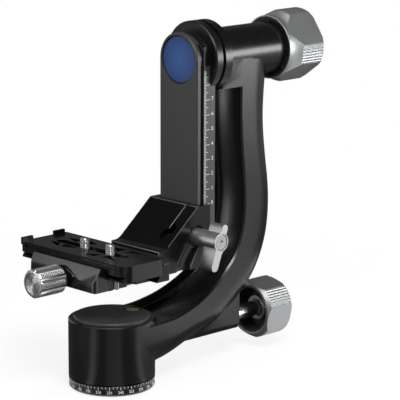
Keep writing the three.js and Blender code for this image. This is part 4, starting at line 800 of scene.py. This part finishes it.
def make_web():
    """The block under the tube that fills the corner between the arm's inner face and the flange."""
    low, high = WEB_BOTTOM, TILT_HEIGHT
    corners = [(WEB_FRONT, low), (WEB_BACK, low), (WEB_BACK, high), (WEB_FRONT, high)]
    rings = [[(x, y, z) for x, z in corners]
             for y in np.linspace(-ARM_HALF_WIDTH, ARM_HALF_WIDTH, WEB_RINGS)]
    return skin("web", rings, black_casting)


# Knobs
KNOB_KNURLS = 7
KNOB_KNURL_DEPTH = 0.4
KNOB_CHAMFER = 1.6
KNOB_CORNER = 0.5
KNOB_MIDDLE_SHARE = 0.6
KNOB_RINGS = 10
KNOB_ROUND = 720
KNOB_CREASE = 28


def grip(radius, flat_from, turn):
    """Four flats and four knurled arcs, as a limit on the radius.

    Each flat is a chord between two arcs, so its radius is the chord's distance over the cosine of
    the angle from its middle. Each arc has its ridges as a cosine wave. The angles are in degrees:
    half the arc's width, and the turn of the first arc's middle."""
    reach_of_flat = radius * math.cos(math.pi / 4 - math.radians(flat_from))
    half_arc = math.radians(flat_from)

    def reach(angle, along, given):
        from_arc = (angle - math.radians(turn) + math.pi / 4) % (math.pi / 2) - math.pi / 4
        from_flat = np.abs(np.abs(from_arc) - math.pi / 4)
        flat = reach_of_flat / np.cos(from_flat)
        wave = from_arc / half_arc * KNOB_KNURLS * math.pi + math.pi * (KNOB_KNURLS + 1)
        arc = radius - KNOB_KNURL_DEPTH * (0.5 - 0.5 * np.cos(wave))
        limit = np.where(np.abs(from_arc) < half_arc, arc, np.minimum(flat, radius))
        return np.minimum(given, limit)
    return reach


def make_knob(name, front, start, radius, length, place, arc):
    """A knob along X: its front's profile, a straight grip, a softened chamfer and a flat back.

    place is the X of its front and the height of its axis, and arc is for its grip."""
    end = length - KNOB_CHAMFER
    straight = stretched(start, (radius, end), KNOB_RINGS)
    back = [straight[-1], (radius, end), (radius - KNOB_CHAMFER, length),
            (radius * KNOB_MIDDLE_SHARE, length), (0, length)]
    profile = np.concatenate([front, straight[:-1], softened(back, KNOB_CORNER)])
    profile[:, 1] += place[0]
    limit = grip(radius, *arc)
    return turned(name, profile, silver_anodised, "X", (0, place[1]), KNOB_ROUND, limit, KNOB_CREASE)


TILT_KNOB_FRONT = 144
TILT_KNOB_LENGTH = 31.8
TILT_KNOB_RADIUS = 24.8
TILT_RING_RADIUS = 21.8
TILT_RING_WALL = 1.1
TILT_FLARE = 11
TILT_FLARE_POINTS = 20
TILT_CUP_DEPTH = 7
TILT_HUB_FRONT = -3.5
TILT_HUB_RADIUS = 12.6
TILT_STUD_BORE = 5.3
TILT_STUD_DEPTH = 25.9
TILT_CORNER = 0.35
TILT_ARC = (16.5, -10)


def make_tilt_knob():
    """Upper knob: a bright lip, a flare, then the grip cut by four flats.

    The flare's radius grows by one less the cosine of an angle that rises to a quarter turn."""
    share = np.linspace(0, 1, TILT_FLARE_POINTS)
    rise = 1 - np.cos(share * math.pi / 2)
    flare = [(TILT_RING_RADIUS + (TILT_KNOB_RADIUS - TILT_RING_RADIUS) * up,
              TILT_RING_WALL + (TILT_FLARE - TILT_RING_WALL) * part) for part, up in zip(share, rise)]
    cup = TILT_RING_RADIUS - TILT_RING_WALL
    front = softened([(TILT_STUD_BORE, TILT_STUD_DEPTH), (TILT_STUD_BORE, TILT_HUB_FRONT),
                      (TILT_HUB_RADIUS, TILT_HUB_FRONT), (TILT_HUB_RADIUS, TILT_CUP_DEPTH),
                      (cup, TILT_CUP_DEPTH), (cup, 0), (TILT_RING_RADIUS, 0), flare[0]], TILT_CORNER)
    front = np.concatenate([[(0, TILT_STUD_DEPTH)], front, flare[1:]])
    knob = make_knob("tilt_knob_grip", front, flare[-1], TILT_KNOB_RADIUS, TILT_KNOB_LENGTH,
                     (TILT_KNOB_FRONT, TILT_HEIGHT), TILT_ARC)
    return stand_for(knob, "tilt_lock_knob")


PAN_KNOB_FRONT = 128.4
PAN_KNOB_LENGTH = 23.6
PAN_KNOB_RADIUS = 20.4
PAN_CUP_RADIUS = 16.3
PAN_CUP_DEPTH = 13
PAN_HUB_RADIUS = 8.5
PAN_HUB_DEPTH = 7
PAN_FRONT_CHAMFER = 2.6
PAN_STUD_DEPTH = 16.3
PAN_CORNER = 0.3
PAN_ARC = (19, 31.5)


def make_pan_knob():
    """Lower knob: a conical front rim about a deep cup, and the grip with four flats."""
    rim, shoulder = (PAN_KNOB_RADIUS - PAN_FRONT_CHAMFER, 0), (PAN_KNOB_RADIUS, PAN_FRONT_CHAMFER)
    front = softened([(STUD_BORE, PAN_STUD_DEPTH), (STUD_BORE, PAN_HUB_DEPTH),
                      (PAN_HUB_RADIUS, PAN_HUB_DEPTH), (PAN_HUB_RADIUS, PAN_CUP_DEPTH),
                      (PAN_CUP_RADIUS, PAN_CUP_DEPTH), (PAN_CUP_RADIUS, 0), rim, shoulder], PAN_CORNER)
    slope = stretched(rim, shoulder, KNOB_RINGS)[2:]
    front = np.concatenate([[(0, PAN_STUD_DEPTH)], front[:-1], slope, [shoulder]])
    knob = make_knob("pan_knob_grip", front, shoulder, PAN_KNOB_RADIUS, PAN_KNOB_LENGTH,
                     (PAN_KNOB_FRONT, LOCK_HEIGHT), PAN_ARC)
    return stand_for(knob, "pan_lock_knob")


# How soon the knurling rises to its full depth, round the knob in radians and along it
CLAMP_PANEL_RISE = (0.03, 0.3)
CLAMP_CHAMFER = 1.1
CLAMP_LIP = 0.1
CLAMP_PANEL_RINGS = 100
CLAMP_ROUND = 432
CLAMP_CREASE = 50


def clamp_reach(angle, along, given):
    """Draws the radius in at eight round flutes, with crossed knurling on the panels between them.

    A flute is a circle about a middle outside the grip. The knurling's depth is one less the product
    of two sines, one of which climbs along the knob to the left and the other to the right."""
    spacing = TAU / CLAMP_FLUTES
    off = (angle + spacing) % spacing - spacing / 2
    far = CLAMP_KNOB_RADIUS + CLAMP_FLUTE_RADIUS - CLAMP_FLUTE_BITE
    under = CLAMP_FLUTE_RADIUS ** 2 - (far * np.sin(off)) ** 2
    flute = np.where(under > 0, far * np.cos(off) - np.sqrt(np.maximum(under, 0)), CLAMP_KNOB_RADIUS)
    lead, turns = along * CLAMP_KNURLS / CLAMP_KNOB_RADIUS, angle * CLAMP_KNURLS
    crossed = np.abs(np.sin((turns + lead) / 2) * np.sin((turns - lead) / 2))
    panel = np.clip((np.abs(off) - CLAMP_PANEL_EDGE) / CLAMP_PANEL_RISE[0], 0, 1)
    from_end = np.minimum(along - CLAMP_KNOB_FRONT, CLAMP_KNOB_FRONT + CLAMP_KNOB_LENGTH - along)
    inside = np.clip((from_end - CLAMP_PANEL_MARGIN) / CLAMP_PANEL_RISE[1], 0, 1)
    inside = inside * (given > CLAMP_ROOT_RADIUS)
    knurl = CLAMP_KNOB_RADIUS - CLAMP_KNURL_DEPTH * (1 - crossed) * panel * inside
    return np.minimum(given, np.minimum(flute, knurl))


def turned_leftward(name, profile, finish, count, reach, crease):
    """A profile that starts at the jaw, turned about the clamp's axis and pointing left."""
    points = swept(profile, "X", CLAMP_AXIS, count, reach)
    points[..., 0] *= -1
    return skin(name, points, finish, crease)


def make_clamp_knob():
    """The clamp's knob, from its bore at the jaw to the shallow dish in its end."""
    end = CLAMP_KNOB_LENGTH
    first, last = (CLAMP_KNOB_RADIUS, CLAMP_CHAMFER), (CLAMP_KNOB_RADIUS, end - CLAMP_CHAMFER)
    dish = end - CLAMP_DISH_DEPTH
    front = [(0, CLAMP_BORE_DEPTH), (CLAMP_BORE, CLAMP_BORE_DEPTH), (CLAMP_BORE, 0),
             (CLAMP_ROOT_RADIUS, 0), first]
    back = [last, (CLAMP_ROOT_RADIUS, end - CLAMP_LIP), (CLAMP_KNOB_RADIUS - CLAMP_CHAMFER, end),
            (CLAMP_DISH_RADIUS, end), (CLAMP_DISH_RADIUS, dish), (0, dish)]
    profile = np.array(front + stretched(first, last, CLAMP_PANEL_RINGS) + back)
    profile[:, 1] += CLAMP_KNOB_FRONT
    knob = turned_leftward("clamp_knob_grip", profile, knurled_silver, CLAMP_ROUND, clamp_reach, CLAMP_CREASE)
    return stand_for(knob, "clamp_knob")


CLAMP_PLATE_DEPTH = 0.9
CLAMP_RINGS = 18
CLAMP_RING_SLOPE = 0.42
CLAMP_DISC_GAP = 0.25
CLAMP_DISC_LIFT = 0.05
CLAMP_DISC_ROUND = 96
CLAMP_DISC_CREASE = 8


def make_clamp_disc():
    """The dished disc in the clamp knob's end, faced with fine V-shaped rings that slope both ways."""
    radius = CLAMP_DISH_RADIUS - CLAMP_DISC_GAP
    back = CLAMP_KNOB_FRONT + CLAMP_KNOB_LENGTH - CLAMP_DISH_DEPTH + CLAMP_DISC_LIFT
    pitch = radius / CLAMP_RINGS
    rings = [(radius - i * pitch / 2, back + CLAMP_PLATE_DEPTH - (i % 2) * CLAMP_RING_SLOPE * pitch / 2)
             for i in range(2 * CLAMP_RINGS)]
    profile = np.array([(0, back), (radius, back)] + rings + [(0, rings[-1][1])])
    disc = turned_leftward("clamp_disc_face", profile, clamp_disc, CLAMP_DISC_ROUND, None, CLAMP_DISC_CREASE)
    return stand_for(disc, "clamp_knob_disc")


# Camera screws
SCREW_PLACES = {"camera_screw_1": 26, "camera_screw_2": 0.9}
SCREW_BOTTOM = 78.2
SCREW_TOP = 95
SCREW_RADIUS = 3.17
SCREW_HEAD_RADIUS = 4.8
SCREW_HEAD_HEIGHT = 3
SCREW_PITCH = 1.27
SCREW_THREAD_DEPTH = 0.72
SCREW_SLOT = 1.2
SCREW_CORNER = 0.3
SCREW_NECK = 0.9
SCREW_THREAD_GAP = 1
# Half of a thread's ridge, and its sloping side, as shares of the pitch
SCREW_RIDGE = 0.5
SCREW_FLANK = 0.4
SCREW_TIP = 0.9
SCREW_STEP = 0.1
SCREW_ROUND = 48
SCREW_CREASE = 50


def make_camera_screw(name, y):
    """A quarter-inch screw, whose radius follows a ridge that climbs one pitch for each turn.

    The ridge rises in a straight line from each side to a flat crest, and a cone cuts the tip."""
    root = SCREW_RADIUS - SCREW_THREAD_DEPTH
    thread_start = SCREW_BOTTOM + SCREW_HEAD_HEIGHT + SCREW_THREAD_GAP

    def thread(angle, along, given):
        phase = ((along - thread_start) / SCREW_PITCH - angle / TAU) % 1
        ridge = np.clip((SCREW_RIDGE - np.abs(phase - 0.5)) / SCREW_FLANK, 0, 1)
        cut = SCREW_RADIUS - SCREW_THREAD_DEPTH * (1 - ridge)
        tip = SCREW_RADIUS - SCREW_TIP + (SCREW_TOP - along)
        return np.where(along > thread_start, np.minimum(given, np.minimum(cut, tip)), given)

    head = softened([(0, 0), (SCREW_HEAD_RADIUS, 0), (SCREW_HEAD_RADIUS, SCREW_HEAD_HEIGHT),
                     (root, SCREW_HEAD_HEIGHT), (root, SCREW_HEAD_HEIGHT + SCREW_NECK)], SCREW_CORNER)
    head[:, 1] += SCREW_BOTTOM
    heights = np.arange(thread_start, SCREW_TOP, SCREW_STEP)
    shank = [(SCREW_RADIUS, z) for z in heights] + [(SCREW_RADIUS, SCREW_TOP), (0, SCREW_TOP)]
    body = turned(name + "_thread", np.concatenate([head, shank]), steel_upright, "Z", (0, y),
                  SCREW_ROUND, thread, SCREW_CREASE)
    half, deep = SCREW_SLOT / 2, SCREW_BOTTOM + SCREW_SLOT
    wide = SCREW_HEAD_RADIUS + OVERRUN
    below = SCREW_BOTTOM - OVERRUN
    outline = [(-half, below), (half, below), (half, deep), (-half, deep)]
    rings = [[(x, y + v, w) for v, w in outline] for x in (-wide, wide)]
    combine(body, [skin(name + "_slot", rings, steel_upright)], "DIFFERENCE")
    soften_shading(body.data, SCREW_CREASE)
    return stand_for(body, name)


# Scales and dots
MARK_LIFT = 0.03
MARK_DEPTH = 0.03


def lettering(text, height):
    """Faces of a short number, with its middle at the origin: points in millimetres and faces."""
    curve = bpy.data.curves.new("number", "FONT")
    curve.body = text
    curve.align_x = "CENTER"
    curve.align_y = "CENTER"
    holder = linked("number", curve)
    points, faces = taken_apart(worked_out(holder))
    bpy.data.objects.remove(holder)
    flat = points[:, :2]
    tall = flat[:, 1].max() - flat[:, 1].min()
    return flat * height / tall, faces


def bar(u0, u1, v0, v1):
    """A rectangle as a mark: its four corners and its one face."""
    return np.array([(u0, v0), (u1, v0), (u1, v1), (u0, v1)], float), [[0, 1, 2, 3]]


def make_marks(name, marks, onto, body, finish):
    """Flat marks laid onto a surface. onto turns (u, v) in millimetres into points in space."""
    points, faces = [], []
    for (u, v), (flat, shape) in marks:
        start = sum(len(part) for part in points)
        points.append(onto(flat[:, 0] + u, flat[:, 1] + v))
        faces += [[start + corner for corner in face] for face in shape]
    piece = linked(name, mesh_of(name, (np.concatenate(points) * MM).tolist(), faces, finish))
    thick = piece.modifiers.new("thick", "SOLIDIFY")
    thick.thickness = MARK_DEPTH * MM
    thick.offset = -1
    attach(piece, body)
    return piece


RIM_TOP = 6.6
RIM_WAIST = 4.2
RIM_FOOT = 1.4
RIM_WAIST_DEPTH = 0.5
PAN_TICK_HALF_WIDTH = 0.17
PAN_TICK_LONG = 2.1
PAN_TICK_SHORT = 1.2
PAN_TICK_DROP = 0.05
PAN_NUMBER_MIDDLE = 2.85
PAN_NUMBER_HEIGHT = 1.75


def onto_rim(u, v):
    """The base's rim: u runs round it in millimetres, v is the height, and the waist draws it in."""
    span = np.where(v > RIM_WAIST, RIM_TOP - RIM_WAIST, RIM_WAIST - RIM_FOOT)
    radius = BASE_RADIUS - RIM_WAIST_DEPTH * (1 - np.abs(v - RIM_WAIST) / span) + MARK_LIFT
    return np.stack([radius * np.cos(u / BASE_RADIUS), radius * np.sin(u / BASE_RADIUS), v], -1)


def make_pan_scale():
    """Degree scale on the base's rim: a tick every 5 degrees, a longer one and a number every 15."""
    marks = []
    for angle in range(0, 360, 5):
        u = math.radians(angle) * BASE_RADIUS
        long = angle % 15 == 0
        foot = RIM_TOP - (PAN_TICK_LONG if long else PAN_TICK_SHORT)
        marks.append(((u, 0), bar(-PAN_TICK_HALF_WIDTH, PAN_TICK_HALF_WIDTH, foot, RIM_TOP - PAN_TICK_DROP)))
        if long:
            marks.append(((u, PAN_NUMBER_MIDDLE), lettering(str(angle), PAN_NUMBER_HEIGHT)))
    return make_marks("pan_scale", marks, onto_rim, "base", scale_ink)


RAIL_SIDE = -17.6
RAIL_EDGE = 66.9
RAIL_SCALE = (114, 203)
# Lengths of the ticks of a centimetre, half a centimetre and a millimetre
RAIL_TICKS = (5.2, 3.7, 1.9)
RAIL_TICK_HALF_WIDTH = 0.14
RAIL_NUMBER_PLACE = (7.6, 0.5)
RAIL_NUMBER_HEIGHT = 2.5


def onto_rail(u, v):
    """The rail's left side: u runs back from its edge, v is the height."""
    return np.stack([RAIL_EDGE + u, np.full_like(u, RAIL_SIDE - MARK_LIFT), v], -1)


def make_rail_scale():
    """Centimetre scale on the rail's side: a tick every millimetre from the groove's edge."""
    marks = []
    centimetre, half_centimetre, millimetre = RAIL_TICKS
    aside, above = RAIL_NUMBER_PLACE
    for z in range(RAIL_SCALE[0], RAIL_SCALE[1] + 1):
        step = z - RAIL_SCALE[0]
        length = centimetre if step % 10 == 0 else half_centimetre if step % 5 == 0 else millimetre
        marks.append(((0, z), bar(0, length, -RAIL_TICK_HALF_WIDTH, RAIL_TICK_HALF_WIDTH)))
        if step % 10 == 0:
            marks.append(((aside, z + above), lettering(str(step // 10), RAIL_NUMBER_HEIGHT)))
    return make_marks("rail_scale", marks, onto_rail, "swing", scale_ink)


DOT_PLACES = (48, 38, 28, 18, 8, -2)
DOT_HEIGHT = 84.3
DOT_RADIUS = 0.62
DOT_CORNERS = 24
PLATE_SIDE = -20


def onto_plate(u, v):
    """The plate's left side: u is the place along it, v is the height."""
    return np.stack([np.full_like(u, PLATE_SIDE - MARK_LIFT), u, v], -1)


def make_plate_dots():
    """Six dots, ten millimetres apart, on the plate's left edge."""
    angle = -np.arange(DOT_CORNERS) * TAU / DOT_CORNERS
    disc = np.stack([DOT_RADIUS * np.cos(angle), DOT_RADIUS * np.sin(angle)], -1)
    marks = [((y, DOT_HEIGHT), (disc, [list(range(DOT_CORNERS))])) for y in DOT_PLACES]
    return make_marks("plate_dots", marks, onto_plate, "plate", dot_ink)


# The other nodes keep their CAD form, with rounded edges
EDGE_WIDTHS = {
    "base_flange": 0.3, "swing_rail": 0.35, "platform_bracket": 0.6, "clamp_jaw": 0.5, "camera_plate": 0.7,
    "lock_lever": 0.7, "barrel_cap": 0.25, "friction_washer": 0.3, "tilt_knob_insert": 0.25,
}
PLAIN_EDGE = 0.18
HERO_NODES = {"main_arm", "tilt_lock_knob", "pan_lock_knob", "clamp_knob", "clamp_knob_disc", *SCREW_PLACES}
FINISHES = {
    "platform_bracket": black_bracket, "camera_plate": black_machined, "clamp_jaw": black_machined,
    "lock_lever": lever_silver,
    "swing_rail": rail_anodised, "barrel_cap": cap_satin, "pan_spindle": steel_upright,
    # The near stop screw takes the darker steel: painted shade
    "near_stop_screw": steel_in_painted_shade, "far_stop_screw": steel_upright,
}


def dress_plain_nodes():
    for name in nodes:
        if name not in HERO_NODES:
            refine(name, EDGE_WIDTHS.get(name, PLAIN_EDGE), FINISHES.get(name, SLOT_FINISH[slots[name]]))


# Stage
def rectangle(x, y):
    return [(-x, -y, 0), (x, -y, 0), (x, y, 0), (-x, y, 0)]


def background_share(tree):
    """1 for rays that see the background as it is: those of the camera, of shine and of glass."""
    total = 0
    for kind in ("Is Camera Ray", "Is Glossy Ray", "Is Transmission Ray"):
        total = tree.math("MAXIMUM", total, tree.add("ShaderNodeLightPath", output=kind))
    return total


# Metres from the middle where the floor starts and ends to glow, and the shares of glow there
GLOW_REACH = (0.15, 0.5)
GLOW_SHARE = (0.84, 1.0)
FLOOR_HALF_SIZE = 3.0
FLOOR_DROP = 0.0006


def make_floor():
    """A plain white floor that the camera sees nearly unshaded, so that only a soft shadow stays."""
    f = Finish("floor")
    slow = f.noise(3, 2)
    f.set(Base_Color=f.shades(slow, (0.9, 0.9, 0.9), (0.93, 0.93, 0.93)), Roughness=0.9)
    x, y = f.axis("X"), f.axis("Y")
    away = f.add("ShaderNodeMapRange", {"interpolation_type": "SMOOTHSTEP"},
                 {0: (x * x + y * y) ** 0.5, 1: GLOW_REACH[0], 2: GLOW_REACH[1],
                  3: GLOW_SHARE[0], 4: GLOW_SHARE[1]})
    shaded, glow = Field(f, f.shader.outputs[0]), f.add("ShaderNodeEmission")
    f.feed(f.output.inputs[0],
           f.add("ShaderNodeMixShader", {}, {0: away * background_share(f), 1: shaded, 2: glow}))
    corners = rectangle(FLOOR_HALF_SIZE, FLOOR_HALF_SIZE)
    floor = linked("floor", mesh_of("floor", corners, [(0, 1, 2, 3)], f.material))
    floor.location.z = -FLOOR_DROP


# The world's level in the background, and what it is less for rays that light the object
WORLD_LEVEL = 1.0
WORLD_DIMMED_BY = 0.6


def make_world():
    world = bpy.data.worlds.new("studio")
    world.use_nodes = True
    bpy.context.scene.world = world
    tree = Tree(world.node_tree)
    shell = tree.nodes["Background"]
    tree.feed(shell.inputs[0], (1, 1, 1, 1))
    tree.feed(shell.inputs[1], background_share(tree) * WORLD_DIMMED_BY + (WORLD_LEVEL - WORLD_DIMMED_BY))


AIM = Vector((0.06, 0, 0.12))
FLOOR_CARD_LIFT = 0.0004
FLOOR_CARD_POINTS = 32
# Name, place, width and height in metres, and power in watts
LAMPS = [
    ("key", (-0.33, -0.66, 0.95), (0.45, 0.45), 12.0),
    ("overhead", (0.0, 0.05, 1.2), (0.4, 0.4), 2.4),
    ("side", (0.68, -0.68, 0.23), (0.45, 0.26), 4.2),
    ("strip_left", (-0.44, 0.29, 0.12), (0.06, 0.3), 0.45),
    ("strip_jaw", (-0.53, 0.585, 0.374), (0.16, 0.1), 0.2),
]
# Name, place, width and height in metres, and the level of grey that shine sees
CARDS = [
    ("card_right_back", (0.85, 0.75, 0.4), (1.3, 1.1), 0.09),
    ("card_right_front", (0.95, -0.9, 0.9), (1.6, 2.2), 0.03),
    ("card_right_top", (0.93, 0.1, 1.1), (1.6, 0.8), 0.02),
    ("card_left_front", (-0.9, -0.45, 0.4), (1.0, 1.1), 0.06),
    ("card_front", (-0.3, -1.1, 0.4), (1.0, 0.9), 0.06),
    ("card_left_back", (-0.7, 0.85, 0.4), (1.1, 1.1), 0.08),
    ("card_back_top", (-0.1, 0.85, 1.0), (1.2, 0.8), 0.03),
    ("card_top", (0.15, 0.0, 1.5), (1.3, 1.0), 0.05),
]
# Inner and outer radius in metres, start and end in degrees, and level of the cards on the floor
FLOOR_CARDS = [
    (0.036, 0.14, -30, 0, 0.08), (0.3, 1.3, -24, 0, 0.045), (0.036, 1.3, 0, 160, 0.045),
    (0.036, 0.42, 160, 177, 0.045), (0.3, 0.42, 177, 191, 0.045), (0.036, 1.3, 191, 216, 0.03),
    (0.036, 1.3, 216, 242, 0.3), (0.036, 1.3, 242, 250, 0.5), (0.036, 1.3, 250, 290, 0.03),
    (0.036, 0.14, 302, 330, 0.15), (0.4, 0.8, 310, 345, 0.4),
]


def aim_at(obj, place):
    obj.location = place
    obj.rotation_euler = (AIM - Vector(place)).to_track_quat("-Z", "Y").to_euler()


def make_lamps():
    for name, place, (wide, high), power in LAMPS:
        data = bpy.data.lights.new(name, "AREA")
        data.energy = power
        data.shape = "RECTANGLE"
        data.size, data.size_y = wide, high
        aim_at(linked(name, data), place)


def make_card(name, points, faces, level):
    """A grey card that only the object's shine sees, as a studio uses to darken bands on metal."""
    f = Finish(name)
    grey = f.noise(2, 1)
    f.set(Base_Color=f.shades(grey, (0.01, 0.01, 0.01), (0.012, 0.012, 0.012)), Roughness=0.9 + grey * 0.1,
          Emission_Color=(level, level, level, 1), Emission_Strength=1)
    card = linked(name, mesh_of(name, points, faces, f.material))
    card.visible_camera = False
    card.visible_shadow = False
    card.visible_diffuse = False
    return card


def make_cards():
    for name, place, (wide, high), level in CARDS:
        aim_at(make_card(name, rectangle(wide / 2, high / 2), [(0, 1, 2, 3)], level), place)
    for i, (inner, outer, start, end, level) in enumerate(FLOOR_CARDS):
        angle = np.radians(np.linspace(start, end, FLOOR_CARD_POINTS))
        lift = np.full(FLOOR_CARD_POINTS, FLOOR_CARD_LIFT)
        rings = [np.stack([r * np.cos(angle), r * np.sin(angle), lift], -1) for r in (inner, outer)]
        faces = grid_faces(2, FLOOR_CARD_POINTS)[:-1]
        make_card(f"card_floor_{i}", np.concatenate(rings).tolist(), faces, level)


place_camera()
make_casting()
make_tilt_knob()
make_pan_knob()
make_clamp_knob()
make_clamp_disc()
for screw, spot in SCREW_PLACES.items():
    make_camera_screw(screw, spot)
dress_plain_nodes()
make_pan_scale()
make_rail_scale()
make_plate_dots()
make_floor()
make_world()
make_lamps()
make_cards()
bpy.context.scene.view_settings.view_transform = "Standard"
